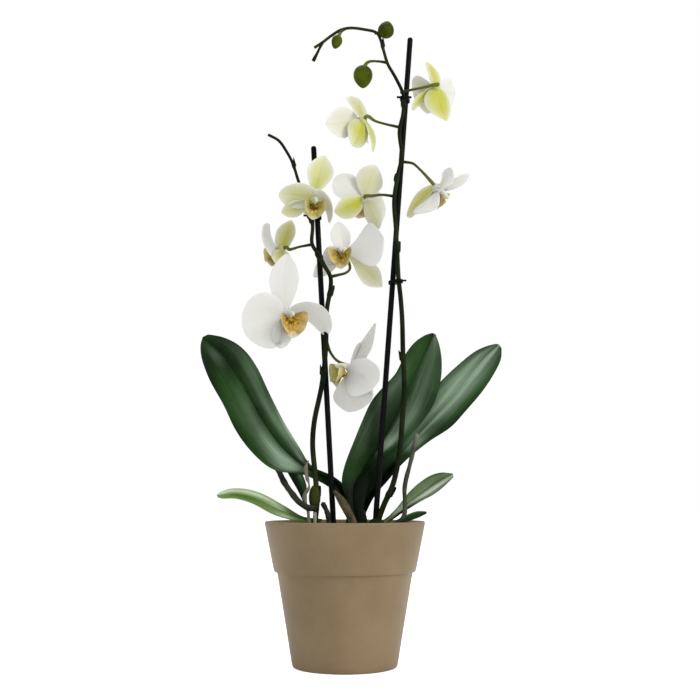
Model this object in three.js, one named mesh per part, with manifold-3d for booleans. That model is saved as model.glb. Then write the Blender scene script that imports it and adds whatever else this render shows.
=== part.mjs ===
// A white moth orchid with two flower spikes, standing in a tapered cover pot.
// Millimetres, +Z up. The origin is the centre of the pot's underside.
import * as THREE from "three";
import { mergeVertices } from "three/addons/utils/BufferGeometryUtils.js";
import Module from "manifold-3d";

const wasm = await Module();
wasm.setup();

// ---- driving dimensions ----
const gap = 0.3; // between pieces that touch
const sliver = 0.02; // detail below this is merged away
const potHeight = 120;
const rimRadius = 68.5;
const collarFootRadius = 60;
const collarFootHeight = 78;
const bodyTopRadius = 57.4;
const footRadius = 44;
const potWall = 3;
const potFloor = 4;
const potSides = 32;
const innerSides = 24; // of the hidden nursery pot and the bark in it

const growerHeight = 104; // top of the thin nursery pot inside the cover pot
const growerTopRadius = 53;
const growerFootRadius = 38;
const growerWall = 1.2;
const barkSurface = 106;
const chipCount = 8;
const chipSize = 13;

const stakeRadius = 2.4;
const spikeRadii = [2.6, 2.4, 2.2, 2, 1.8, 1.6, 1.3]; // one for each internode, foot to tip
const spikeSides = 6;
const spikeSteps = 28; // over a whole spike
const bractStep = 0.7; // how far the collar at a joint of the spike stands out
const pedicelRadius = 1.25;
const stalkStraight = 2.5; // the end of a bloom's stalk, straight behind its knot

const petalThickness = 0.8;
const leafThickness = 1.8;
const leafSwell = 0.1; // how far each half of a leaf bulges, as a share of its width
const leafCells = 10;
const hubRadius = 4.2; // of the knot behind the column, where the tepals join
const tepalFoot = 1.6; // from the bloom's centre to where a tepal starts, inside the knot

// ---- looks ----
const finish = (color, roughness, metalness = 0) =>
  new THREE.MeshStandardMaterial({ color, roughness, metalness });
const finishes = {
  pot: finish(0x8a755e, 0.55),
  nursery: finish(0x2a2c2a, 0.6),
  bark: finish(0x5a4030, 0.95),
  stake: finish(0x141618, 0.45),
  stem: finish(0x3c4a20, 0.5),
  crown: finish(0x24351c, 0.5),
  leaf: finish(0x2f5233, 0.35),
  paleLeaf: finish(0x86a86a, 0.4),
  sheath: finish(0x6b5138, 0.85),
  root: finish(0x6d7468, 0.7),
  darkRoot: finish(0x2c3326, 0.7),
  bud: finish(0x5d7420, 0.5),
  petal: finish(0xf1f2ec, 0.55),
  lip: finish(0xd9a82c, 0.5),
};

// ---- solids ----
const point = ([x, y, z]) => new THREE.Vector3(x, y, z);

function toSolid(geometry) {
  const bare = geometry.index ? geometry.toNonIndexed() : geometry.clone();
  bare.deleteAttribute("normal");
  bare.deleteAttribute("uv");
  const merged = mergeVertices(bare, 1e-4);
  const vertProperties = merged.attributes.position.array;
  const triVerts = new Uint32Array(merged.index.array);
  return new wasm.Manifold(new wasm.Mesh({ numProp: 3, vertProperties, triVerts }));
}

function toGeometry(solid) {
  const { vertProperties, triVerts } = solid.getMesh();
  const geometry = new THREE.BufferGeometry();
  geometry.setAttribute("position", new THREE.BufferAttribute(vertProperties, 3));
  geometry.setIndex(new THREE.BufferAttribute(triVerts, 1));
  geometry.computeVertexNormals();
  return geometry;
}

const join = (solids) => solids.reduce((all, solid) => all.add(solid));

function largestBody(solid) {
  const bodies = solid.decompose();
  return bodies.reduce((best, body) => (body.volume() > best.volume() ? body : best));
}

// ---- the assembly: each node is trimmed clear of the nodes before it ----
const orchid = new THREE.Group();
const placed = [];

function boxesMeet(a, b) {
  return [0, 1, 2].every((axis) => a.min[axis] <= b.max[axis] && b.min[axis] <= a.max[axis]);
}

// build(margin) makes the solid, grown by the margin on every side.
function addNode(name, look, build) {
  let solid = build(0);
  const box = solid.boundingBox();
  for (const other of placed) {
    if (boxesMeet(box, other.box)) solid = solid.subtract(other.fat);
  }
  const mesh = new THREE.Mesh(toGeometry(largestBody(solid.simplify(sliver))), look);
  mesh.name = name;
  orchid.add(mesh);
  const fat = build(gap);
  placed.push({ fat, box: fat.boundingBox() });
}

// ---- basic shapes ----
function lathe(profile, sides) {
  const points = profile.map(([radius, height]) => new THREE.Vector2(radius, height));
  const geometry = new THREE.LatheGeometry(points, sides);
  return toSolid(geometry.rotateX(Math.PI / 2));
}

function roundSection(radius, sides) {
  const corner = (k) => (2 * Math.PI * k) / sides;
  const corners = Array.from({ length: sides }, (_, k) => [Math.cos(corner(k)), Math.sin(corner(k))]);
  return new THREE.Shape(corners.map(([x, y]) => new THREE.Vector2(radius * x, radius * y)));
}

function tube(path, radius, sides, steps) {
  const options = { steps, extrudePath: path, bevelEnabled: false };
  return toSolid(new THREE.ExtrudeGeometry(roundSection(radius, sides), options));
}

const curveThrough = (points) => new THREE.CatmullRomCurve3(points.map(point));

// A curve that starts at a foot in the bark; grown by a margin, it also goes deeper.
function rootedCurve([[x, y, z], ...rest], margin) {
  return curveThrough([[x, y, z - 2 * margin], ...rest]);
}

function stretchOf(path, from, to, count) {
  const at = (k) => from + ((to - from) * k) / count;
  const points = Array.from({ length: count + 1 }, (_, k) => path.getPointAt(at(k)));
  return new THREE.CatmullRomCurve3(points);
}

function ball(centre, radii, sides = 8, rings = 6) {
  const geometry = new THREE.SphereGeometry(1, sides, rings);
  geometry.scale(...radii);
  return toSolid(geometry.translate(...centre));
}

// A closed blade round a middle surface: at(u, v) with u from foot to tip, v from -1 to 1.
function blade(at, along, across, thickness) {
  const step = 0.01;
  const faces = [[], []];
  for (let i = 0; i <= along; i++) {
    for (let j = 0; j <= across; j++) {
      const u = i / along;
      const v = (2 * j) / across - 1;
      const alongU = at(Math.min(u + step, 1), v).sub(at(Math.max(u - step, 0), v));
      const acrossV = at(u, v + step).sub(at(u, v - step));
      const normal = alongU.cross(acrossV).setLength(thickness / 2);
      faces[0].push(at(u, v).add(normal));
      faces[1].push(at(u, v).sub(normal));
    }
  }
  return closedSheet(faces, along, across);
}

function closedSheet(faces, along, across) {
  const row = across + 1;
  const perFace = faces[0].length;
  const triangles = [];
  const quad = (a, b, c, d) => triangles.push(a, b, c, a, c, d);
  for (let i = 0; i < along; i++) {
    for (let j = 0; j < across; j++) {
      const k = i * row + j;
      triangles.push(k, k + row, k + row + 1, k, k + row + 1, k + 1);
      const m = k + perFace;
      triangles.push(m, m + row + 1, m + row, m, m + 1, m + row + 1);
    }
  }
  for (let j = 0; j < across; j++) {
    const last = along * row + j;
    quad(j, j + 1, j + 1 + perFace, j + perFace);
    quad(last + 1, last, last + perFace, last + 1 + perFace);
  }
  for (let i = 0; i < along; i++) {
    const k = i * row;
    const edge = k + across;
    quad(k + row, k, k + perFace, k + row + perFace);
    quad(edge, edge + row, edge + row + perFace, edge + perFace);
  }
  const geometry = new THREE.BufferGeometry().setFromPoints(faces.flat());
  geometry.setIndex(triangles);
  return toSolid(geometry);
}

// Outline of a tepal: a narrow foot, then widest at the given share of the length.
function outline(u, foot, widest, fullness) {
  const rise = Math.log(0.5) / Math.log(widest);
  return 0.04 + foot * (1 - u) ** 2 + Math.sin(Math.PI * u ** rise) ** fullness;
}

// ---- stakes ----
const stakes = {
  left: [[-4.2, -10, 20], [-28, -10, 448.4]],
  right: [[18.2, -10, 20], [58.5, -10, 549.6]],
};

function stake(ends, margin) {
  return tube(rootedCurve(ends, margin), stakeRadius + margin, 8, 1);
}

// ---- flower spikes ----
const spikes = {
  left: {
    points: [
      [-22, -12, 92], [-24.7, -12, 120], [-23.5, -12, 138], [-24.9, -13, 157], [-27.4, -13, 184],
      [-26.1, -14, 203.5], [-19.7, -16, 235], [-16.4, -17, 266], [-15.6, -17, 300], [-12.6, -17, 318],
      [-12.6, -17, 328.6], [-17.7, -17, 338.3], [-22.7, -16.5, 348], [-28.6, -16, 358], [-28.4, -15, 376],
      [-34.2, -14, 398], [-40.6, -14, 414], [-46.4, -13, 432], [-52.6, -12, 444], [-58.9, -11, 453],
      [-68.1, -10, 458.7],
    ],
    nodes: [0.13, 0.4, 0.58, 0.67, 0.76, 0.9],
    knob: { centre: [-25.5, -12.5, 140], radii: [5, 4.2, 10.5] },
  },
  right: {
    points: [
      [22, -12, 92], [29.3, -12, 124], [33.2, -13, 134.5], [40, -15, 149.5], [43.9, -16, 164.6],
      [46.9, -17, 184], [48.5, -17, 203], [50.5, -17, 232], [49.6, -17, 262], [49.1, -17, 292],
      [47.8, -16, 312], [46.2, -16, 328], [45.2, -16, 352], [44.2, -16, 372], [42.8, -16, 397],
      [46.4, -16, 421], [49.7, -16, 437], [47.8, -16, 460], [50.9, -16, 475], [51.8, -16, 492],
      [44.9, -18, 508],
      [37.8, -19, 520.7], [34.7, -20, 530.6], [31.8, -21, 541.3], [28, -22, 548.4], [16.5, -22, 551.7],
      [4.3, -22, 553], [-4, -21, 551.6], [-12.2, -20, 546.8], [-20.3, -19, 540.8], [-27.5, -18, 536.3],
    ],
    nodes: [0.1, 0.32, 0.5, 0.62, 0.75, 0.86],
    knob: { centre: [26.5, -12, 117], radii: [7, 4, 6] },
  },
};

// The knob is the thick foot that the roots leave from.
function spike({ points, nodes, knob }, pedicels, margin) {
  const path = rootedCurve(points, margin);
  const breaks = [0, ...nodes, 1];
  const parts = spikeRadii.map((radius, k) => {
    const from = breaks[k];
    const to = Math.min(breaks[k + 1] + 0.004, 1);
    const steps = Math.max(3, Math.round((to - from) * spikeSteps));
    return tube(stretchOf(path, from, to, steps), radius + margin, spikeSides, steps);
  });
  const bracts = nodes.map((u, k) => {
    const collar = stretchOf(path, u - 0.008, u + 0.006, 2);
    return tube(collar, spikeRadii[k] + bractStep + margin, spikeSides, 1);
  });
  const stalks = pedicels.map((route) =>
    tube(curveThrough(route), pedicelRadius + margin, 5, route.length),
  );
  const foot = ball(knob.centre, knob.radii.map((radius) => radius + margin), 6, 4);
  return join([...parts, foot, ...bracts, ...stalks]);
}

// ---- blooms ----
// Each tepal leaves the hub at an angle in the bloom's own face, its length and width are
// shares of the bloom's size, and lean and curl tip it towards the front, in degrees.
const tepalForms = {
  dorsal: { angle: 90, length: 0.5, width: 0.34, lean: -4, curl: -6, cup: 0.3, layer: -1.2 },
  sepalLeft: { angle: 232, length: 0.47, width: 0.31, lean: -6, curl: -6, cup: 0.25, layer: -1.2 },
  sepalRight: { angle: 308, length: 0.47, width: 0.31, lean: -6, curl: -6, cup: 0.25, layer: -1.2 },
  petalLeft: { angle: 168, length: 0.5, width: 0.54, lean: 2, curl: -10, cup: 0.1, layer: 1.2 },
  petalRight: { angle: 12, length: 0.5, width: 0.54, lean: 2, curl: -10, cup: 0.1, layer: 1.2 },
};
const outlines = { sepal: [0.22, 0.55, 0.75], petal: [0.12, 0.58, 0.62] };

const blooms = {
  l1: {
    spike: "left", stalk: [[-15.6, -17, 298], [-24, -20, 303], [-36, -30, 300]],
    centre: [-48, -50, 290.4], size: 84, yaw: 28, pitch: -13, roll: 7,
    tepals: {
      dorsal: { angle: 100, length: 0.59, width: 0.28, lean: -2, curl: 6, cup: 0.11, sweep: -21,
        turn: -11, twist: -9, shape: [0.06, 0.56, 0.73] },
      petalLeft: { angle: 195, length: 0.46, width: 0.5, lean: -9, curl: -7, cup: 0.17, sweep: -6,
        turn: 3, twist: -6, shape: [0.39, 0.55, 0.49] },
      petalRight: { angle: 27, length: 0.56, width: 0.32, lean: -2, curl: -9, cup: 0.16, layer: -3.6,
        sweep: -104, turn: 51, twist: 10, shape: [0.14, 0.57, 0.42] },
      sepalLeft: { angle: 244, length: 0.35, width: 0.19, lean: 12, curl: -8, cup: 0.23, sweep: 19,
        turn: -4, twist: 28, shape: [0.05, 0.6, 0.59] },
      sepalRight: { angle: 288, length: 0.3, lean: -30 },
    },
  },
  l2: {
    spike: "left", stalk: [[-28.4, -15, 378], [-27, -18, 386], [-27, -22, 391.5]],
    centre: [-27.3, -36, 391.6], size: 66, yaw: 14, pitch: -22, roll: -4,
    tepals: {
      dorsal: { angle: 82, length: 0.62, width: 0.34, lean: -17, curl: -3, cup: 0.2, sweep: -7, turn: 4,
        twist: -5, shape: [0.05, 0.62, 0.85] },
      petalLeft: { angle: 165, length: 0.45, width: 0.31, lean: -8, curl: 0, cup: 0.2, sweep: 27,
        turn: -20, twist: 4, shape: [0.5, 0.52, 0.48] },
      petalRight: { angle: 32, length: 0.47, width: 0.38, lean: -42, curl: 32, cup: -0.1, layer: -2.1,
        sweep: -150, turn: 51, twist: 40, shape: [0.9, 0.51, 0.42] },
      sepalLeft: { angle: 216, length: 0.44, width: 0.22, lean: -5, curl: -3, cup: 0.32, sweep: -9,
        turn: -13, twist: 9, shape: [0.06, 0.6, 0.67] },
      sepalRight: { angle: 270, length: 0.28, lean: -35 },
    },
  },
  l3: {
    spike: "left", stalk: [[-12.7, -17, 328.8], [-5.8, -14, 331], [0.8, -9, 334], [4.3, 0, 341]],
    centre: [-1.9, -4, 354.6], size: 72, yaw: -10, pitch: -8, roll: -1,
    tepals: {
      dorsal: { angle: 98, length: 0.39, width: 0.23, lean: -12, curl: -5, cup: 0.25, sweep: 9,
        turn: 26, twist: 11, shape: [0.46, 0.55, 0.62] },
      petalLeft: { angle: 219, length: 0.26, width: 0.27, lean: 17, curl: -24, cup: 0.03, layer: -2.6,
        sweep: -24, turn: -32, twist: 2, shape: [0.46, 0.52, 0.42] },
      petalRight: { angle: 359, length: 0.54, width: 0.52, lean: 5, curl: 6, cup: 0.1, sweep: 31,
        turn: -13, twist: 5, shape: [0.05, 0.68, 0.8] },
      sepalLeft: { angle: 218, length: 0.5, width: 0.2 },
      sepalRight: { angle: 321, length: 0.65, width: 0.27, lean: -8, curl: -19, cup: 0.27, layer: -3.9,
        sweep: -10, turn: -14, twist: 40, shape: [0.05, 0.67, 0.93] },
    },
  },
  l4: {
    spike: "left", stalk: [[-29, -16, 357.5], [-40, -8, 357.4], [-49.6, 0, 357]],
    centre: [-57, 6, 358.8], size: 60, yaw: -130, pitch: -4, roll: 11,
    tepals: {
      dorsal: { angle: 89, length: 0.44, width: 0.26, lean: -13, curl: -27, cup: 0.11, sweep: -17,
        turn: -26, twist: 4, shape: [0.64, 0.57, 0.69] },
      petalLeft: { lean: 55 },
      petalRight: { angle: 345, length: 0.51, width: 0.43, lean: -10, curl: -9, cup: -0.1, layer: 4,
        sweep: 76, turn: 15, twist: -16, shape: [0.06, 0.54, 0.71] },
      sepalLeft: { angle: 208, length: 0.36, width: 0.37, lean: 22, curl: 2, cup: 0.43, sweep: -67,
        turn: -16, twist: -4, shape: [1, 0.61, 0.74] },
      sepalRight: { angle: 280, length: 0.36 },
    },
  },
  l5: {
    spike: "left", stalk: [[-15.8, -17, 272], [-12, -18, 262], [-6, -19, 255]],
    centre: [4.6, -18, 249.5], size: 76, yaw: -66, pitch: 0, roll: -10,
    tepals: {
      dorsal: { angle: 80, length: 0.58, width: 0.4, lean: -35, curl: 18, cup: 0.06, sweep: 19, turn: 3,
        twist: -17, shape: [0.05, 0.53, 0.62] },
      petalLeft: { angle: 178, length: 0.36, lean: -55 },
      petalRight: { angle: 331, length: 0.44, width: 0.43, lean: -12, curl: -36, cup: 0.26, layer: 2.4,
        sweep: 26, turn: -7, twist: -7, shape: [0.34, 0.65, 0.43] },
      sepalLeft: { angle: 287, length: 0.5, width: 0.46, lean: -2, curl: 4, cup: -0.07, layer: -1.7,
        sweep: -36, turn: -52, twist: 13, shape: [0.05, 0.61, 0.66] },
      sepalRight: { angle: 300, length: 0.4, width: 0.3, lean: -26 },
    },
  },
  r1: {
    spike: "right", stalk: [[48.4, -16, 463.4], [36.5, -18, 465.4], [27, -20, 467.5]],
    centre: [15.2, -28, 465.4], size: 63, yaw: -143, pitch: -16, roll: -8,
    tepals: {
      dorsal: { angle: 104, length: 0.55, width: 0.39, lean: 21, curl: -5, cup: 0.15, sweep: 23,
        turn: 19, twist: -11, shape: [0.86, 0.68, 0.77] },
      petalLeft: { angle: 150, lean: 60 },
      petalRight: { angle: 359, length: 0.54, width: 0.42, lean: 22, curl: -10, cup: -0.1, sweep: 4,
        turn: -28, twist: 9, shape: [0.05, 0.55, 0.77] },
      sepalLeft: { angle: 228, length: 0.47, width: 0.14, lean: 6, curl: 10, cup: -0.07, sweep: 66,
        turn: 5, twist: -18, shape: [0.19, 0.58, 0.66] },
      sepalRight: { angle: 295, length: 0.44, width: 0.32, lean: 16, curl: 3, cup: 0.26, sweep: 14,
        turn: -4, twist: -14, shape: [0.44, 0.49, 0.6] },
    },
  },
  r2: {
    spike: "right", stalk: [[49.4, -16.5, 495.4], [58.3, -13, 499], [69.9, -9, 503]],
    centre: [81, -2, 506.5], size: 64, yaw: 198, pitch: 0, roll: -1,
    tepals: {
      dorsal: { angle: 104, length: 0.6, width: 0.24, lean: 22, curl: 21, cup: -0.02, layer: 0.9,
        sweep: -20, turn: 10, twist: 19, shape: [0.54, 0.64, 0.56] },
      petalLeft: { angle: 184, length: 0.48, width: 0.41, lean: 32, curl: -6, cup: -0.01, sweep: -27,
        turn: 7, twist: -1, shape: [0.11, 0.66, 0.59] },
      petalRight: { angle: 338, length: 0.36, lean: 60 },
      sepalLeft: { angle: 260, length: 0.52, width: 0.42, lean: 5, curl: -13, cup: 0.22, sweep: -11,
        turn: -6, twist: -15, shape: [0.23, 0.46, 0.7] },
      sepalRight: { angle: 330, length: 0.5, width: 0.13, lean: 22, curl: -32, cup: 0.29, sweep: -34,
        turn: -43, twist: 23, shape: [0.07, 0.61, 0.61] },
    },
  },
  r3: {
    spike: "right", stalk: [[48.6, -16, 432], [54, -17.5, 431], [59.5, -17, 430], [66, -15, 425]],
    centre: [81.5, -4, 411.8], size: 66, yaw: 112, pitch: -42, roll: 55,
    tepals: {
      dorsal: { angle: 72, length: 0.47, width: 0.24, lean: 29, curl: -15, cup: 0.23, sweep: -17,
        turn: -20, twist: -31, shape: [0.85, 0.39, 0.42] },
      petalLeft: { angle: 219, length: 0.5, width: 0.48, lean: 8, curl: -13, cup: 0.17, sweep: -4,
        turn: -15, shape: [0.21, 0.62, 0.82] },
      petalRight: { angle: 73, length: 0.33, width: 0.61, lean: -17, curl: 0, cup: 0.1, sweep: -41,
        twist: 7, shape: [0.75, 0.56, 0.7] },
      sepalLeft: { angle: 290, length: 0.61, width: 0.41, lean: -1, curl: 9, cup: -0.03, sweep: -41,
        turn: -14, twist: -11, shape: [0.19, 0.59, 0.62] },
      sepalRight: { angle: 318, length: 0.3, width: 0.26, lean: 40 },
    },
  },
  r4: {
    spike: "right", stalk: [[43, -16, 400.7], [32.3, -15, 402.3], [23.6, -13, 402]],
    centre: [16.7, -4, 401.7], size: 63, yaw: 190, pitch: -6, roll: 15,
    tepals: {
      dorsal: { angle: 89, length: 0.5, width: 0.39, lean: -12, curl: -1, cup: 0.22, sweep: 8, turn: 4,
        twist: 18, shape: [0.11, 0.58, 0.68] },
      petalLeft: { lean: 45 },
      petalRight: { angle: 23, length: 0.51, width: 0.43, lean: -4, curl: 4, cup: 0.06, sweep: -2,
        turn: 11, shape: [0.06, 0.63, 0.57] },
      sepalLeft: { angle: 222, length: 0.5, width: 0.26, lean: -8, curl: 9, cup: 0.14, sweep: 21,
        turn: 31, twist: 17, shape: [0.06, 0.54, 0.65] },
      sepalRight: { angle: 311, length: 0.48, width: 0.32, lean: -13, curl: 27, cup: 0.3, sweep: 13,
        turn: -28, twist: -22, shape: [0.34, 0.56, 0.68] },
    },
  },
};

const degrees = THREE.MathUtils.degToRad;

function bloomPlace({ centre, yaw, pitch, roll }) {
  const turn = degrees(yaw);
  const tilt = degrees(pitch);
  const facing = point([
    Math.sin(turn) * Math.cos(tilt), -Math.cos(turn) * Math.cos(tilt), Math.sin(tilt),
  ]);
  const right = point([Math.cos(turn), Math.sin(turn), 0]).applyAxisAngle(facing, degrees(roll));
  const up = facing.clone().cross(right);
  return new THREE.Matrix4().makeBasis(right, up, facing).setPosition(...centre);
}

// A tepal may also be turned about its own length, more so along a twist, its tip may sweep
// round in the face, and it may have an outline of its own.
function tepalMiddle(form, shape, size, margin) {
  const front = point([0, 0, 1]);
  const half = (form.width * size) / 2 + margin;
  return (u, v) => {
    const roll = degrees((form.turn ?? 0) + (form.twist ?? 0) * u);
    const swept = degrees(form.angle + ((form.sweep ?? 0) * u) / 2);
    const along = point([Math.cos(swept), Math.sin(swept), 0]);
    const side = point([-along.y, along.x, 0]);
    const reach = tepalFoot + u * (form.length * size - tepalFoot + margin);
    const bend = degrees(form.lean + (form.curl * u) / 2);
    const spread = v * half * outline(u, ...shape);
    const raise = (form.cup * spread * spread) / half;
    const across = side.multiplyScalar(Math.cos(roll)).addScaledVector(front, Math.sin(roll));
    return along.multiplyScalar(reach * Math.cos(bend))
      .addScaledVector(front, form.layer + reach * Math.sin(bend) + raise)
      .addScaledVector(across, spread);
  };
}

function tepal(name, tweaks, size, margin) {
  const form = { ...tepalForms[name], ...tweaks };
  const petal = name.startsWith("petal");
  const shape = form.shape ?? (petal ? outlines.petal : outlines.sepal);
  const middle = tepalMiddle(form, shape, size, margin);
  return blade(middle, 4, petal ? 3 : 2, petalThickness + 2 * margin);
}

function bloom(data, margin) {
  const hub = ball([0, 0, 0], [hubRadius, hubRadius, hubRadius].map((r) => r + margin), 6, 5);
  const column = ball([0, 1, 7], [3, 3, 7.5].map((r) => r + margin), 6, 5);
  const tepals = Object.keys(tepalForms).map((name) =>
    tepal(name, data.tepals[name], data.size, margin),
  );
  return join([hub, column, ...tepals]).transform(bloomPlace(data).elements);
}

// The lip stands below and in front of the column: two raised, rounded side lobes and a
// trowel-shaped tongue.
const lipForms = [
  { angle: 200, length: 0.19, width: 0.2, lean: 24, curl: 40, cup: 0.45, layer: 5,
    shape: [0.3, 0.62, 0.5] },
  { angle: 340, length: 0.19, width: 0.2, lean: 24, curl: 40, cup: 0.45, layer: 5,
    shape: [0.3, 0.62, 0.5] },
  { angle: 270, length: 0.21, width: 0.2, lean: 40, curl: -30, cup: 0.3, layer: 5,
    shape: [0.3, 0.5, 0.8] },
];

function lip(data, margin) {
  const foot = ball([0, -5.5, 6.5], [4.6, 3.2, 3].map((r) => r + margin), 6, 4);
  const lobes = lipForms.map((form) => {
    const middle = tepalMiddle(form, form.shape, data.size, margin);
    return blade(middle, 2, 2, 1 + 2 * margin);
  });
  const lowered = join(lobes).translate([0, -3, 0]);
  return foot.add(lowered).transform(bloomPlace(data).elements);
}

// ---- buds ----
const buds = {
  1: { centre: [36.4, -23, 551.2], tip: [0.2, 0.1, 1], length: 16, width: 14.4 },
  2: { centre: [15.8, -19, 508.8], tip: [0.02, 0, -1], length: 21, width: 17 },
  3: { centre: [-7.6, -23, 539.4], tip: [-0.3, 0, -1], length: 13, width: 9.6 },
};
const budStalks = [
  [[37, -19, 522], [29.2, -18.5, 523.4], [20.5, -19, 522.6], [16, -19, 517]],
  [[0.5, -22, 552.6], [-3.7, -22.5, 549], [-5.8, -23, 545]],
  [[26, -22, 548], [33.5, -22.5, 549.6]],
  [[-20.3, -19, 540.6], [-24.3, -19, 532], [-28.4, -18, 524]],
];

function bud({ centre, tip, length, width }, margin) {
  const profile = [0, 0.12, 0.32, 0.55, 0.78, 1].map((share) => {
    const swell = Math.sin(Math.PI * share ** 0.8) ** 0.62;
    return [share % 1 ? (width / 2 + margin) * swell : 0, (length + 2 * margin) * (share - 0.5)];
  });
  const body = lathe(profile, 10);
  const turn = new THREE.Quaternion().setFromUnitVectors(point([0, 0, 1]), point(tip).normalize());
  const place = new THREE.Matrix4().compose(point(centre), turn, new THREE.Vector3(1, 1, 1));
  return body.transform(place.elements);
}

// ---- crown and leaves ----
function crown(margin) {
  const profile = [[0, 84], [6, 86], [8, 104], [8.5, 114], [7, 126], [4, 133], [0, 136]];
  const grown = profile.map(([radius, height]) => [
    radius ? radius + margin : 0, height + (height > barkSurface ? margin : -margin),
  ]);
  return lathe(grown, 12).scale([1.15, 0.8, 1]).translate([10, 0, 0]);
}

// Each leaf is given by its two edges and the midrib between them, from the foot to the tip.
const leaves = {
  leaf_centre: {
    left: [[7, -10, 102], [6, -11, 118], [4, -10, 130], [0, -8, 141], [-3, -6, 152],
      [-1, -4, 165], [8, -3, 189], [15, -2, 206], [23, -1, 223], [33, 1, 235], [44, 3, 247],
      [52, 5, 263], [61, 7, 275], [71, 9, 282], [77, 11, 284]],
    rib: [[10, -8, 102], [9, -8, 120], [7, -6, 138], [9, -2, 152], [19, 4, 167], [33, 7, 189],
      [49, 9, 218], [61, 11, 246], [70, 13, 265], [79, 14, 284]],
    right: [[14, -9, 102], [14, -9, 118], [16, -7, 132], [20, -4, 150], [26, 0, 168],
      [41, 2, 181], [58, 4, 195], [71, 6, 210], [79, 7, 224], [84, 8, 242], [85, 9, 260],
      [83, 10, 274], [80, 12, 283]],
  },
  leaf_big_right: {
    left: [[7, 1, 102], [6, 2, 120], [7, 3, 138], [13, 5, 155], [24, 8, 169], [39, 12, 182],
      [55, 15, 200], [70, 17, 223], [84, 18, 241], [102, 19, 258], [116, 20, 269], [127, 21, 274],
      [135, 23, 276]],
    rib: [[11, 4, 102], [11, 6, 118], [16, 8, 133], [29, 12, 151], [46, 16, 174], [68, 20, 199],
      [91, 22, 224], [111, 24, 248], [124, 25, 263], [138, 26, 276]],
    right: [[15, 3, 102], [15, 4, 118], [20, 5, 131], [26, 7, 142], [36, 9, 153], [50, 11, 169],
      [73, 14, 188], [93, 16, 201], [107, 18, 216], [121, 20, 232], [132, 21, 248],
      [139, 22, 262], [140, 24, 272]],
  },
  leaf_big_left: {
    left: [[8, -5, 102], [6, -6, 118], [0, -7, 131], [-8, -7, 144], [-19, -6, 152],
      [-28, -5, 156], [-36, -5, 159.5], [-45, -6, 160.5], [-56, -7, 161.5], [-66, -9, 166],
      [-82, -11, 181], [-94, -13, 198], [-103, -15, 217], [-116, -16, 240], [-123, -16, 259],
      [-124, -15, 270], [-123, -13, 275]],
    rib: [[10, -3, 102], [8, -3, 124], [1, -3, 139], [-9, -2, 152], [-20, -1, 158],
      [-29, -1, 163], [-40, -2, 170], [-55, -4, 184], [-72, -7, 208], [-89, -9, 238],
      [-103, -10, 260], [-123, -11, 277]],
    right: [[11, -4, 102], [10, -4, 126], [7, -5, 138], [2, -6, 148], [-7, -6, 156],
      [-16, -5, 161], [-25, -5, 164], [-31, -6, 169], [-38, -7, 181], [-51, -10, 202],
      [-64, -13, 227], [-75, -15, 250], [-85, -16, 264], [-95, -16, 272], [-107, -15, 277],
      [-118, -13, 279]],
  },
  leaf_low_left: {
    left: [[-23, -6, 115], [-40, -14, 120], [-58, -21, 125], [-77, -27, 135], [-91, -30, 139],
      [-101, -31, 139], [-105, -31, 140]],
    rib: [[-21, -3, 118], [-40, -10, 123], [-58, -18, 131], [-77, -25, 140], [-91, -28, 143],
      [-106, -30, 142]],
    right: [[-19, -5, 122], [-35, -9, 124], [-51, -15, 133], [-69, -21, 143], [-83, -26, 147],
      [-96, -29, 147], [-104, -30, 144]],
  },
  leaf_small_right: {
    left: [[20, -2, 116], [33, -4, 121], [43, -6, 130], [54, -8, 144], [64, -9, 153],
      [74, -10, 159], [83, -10, 161], [89, -10, 160]],
    rib: [[21, 0, 113], [35, -2, 121], [50, -4, 132], [66, -6, 144], [79, -7, 153], [92, -8, 160]],
    right: [[21, -3, 110], [37, -5, 119], [50, -8, 128], [63, -10, 136], [76, -11, 143],
      [86, -11, 151], [92, -10, 157]],
  },
  leaf_tiny_right: {
    left: [[25, 5, 112], [39, 8, 118], [51, 12, 124], [62, 15, 128], [70, 17, 128]],
    rib: [[26, 6, 110], [40, 10, 116], [53, 14, 122], [71, 18, 127]],
    right: [[27, 5, 107], [41, 8, 114], [54, 12, 119], [65, 15, 123], [71, 17, 126]],
  },
  leaf_stub_left: {
    left: [[-33, -15, 131], [-36, -14, 138], [-40, -11, 146], [-45, -5, 154], [-50, 2, 162],
      [-54, 7, 169]],
    rib: [[-32.5, -14, 137], [-35, -12, 145], [-39, -7, 153], [-44, 1, 162], [-50, 7, 171]],
    right: [[-32, -14, 143], [-32.5, -11, 150], [-35, -6, 157], [-39, 2, 164], [-46, 8, 172]],
  },
};

function leafMiddle({ left, rib, right }, margin) {
  const [leftEdge, middle, rightEdge] = [left, rib, right].map((line) => rootedCurve(line, margin));
  return (u, v) => {
    const centre = middle.getPointAt(u);
    const sides = rightEdge.getPointAt(u).sub(leftEdge.getPointAt(u));
    const up = sides.cross(middle.getTangentAt(u)).normalize();
    const reach = (v < 0 ? leftEdge : rightEdge).getPointAt(u).sub(centre);
    const bulge = 4 * leafSwell * reach.length() * Math.max(0, Math.abs(v) - v * v);
    reach.setLength(reach.length() + margin);
    return centre.addScaledVector(reach, Math.abs(v)).addScaledVector(up, bulge);
  };
}

const leaf = (data, margin) =>
  blade(leafMiddle(data, margin), leafCells, 4, leafThickness + 2 * margin);

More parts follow.
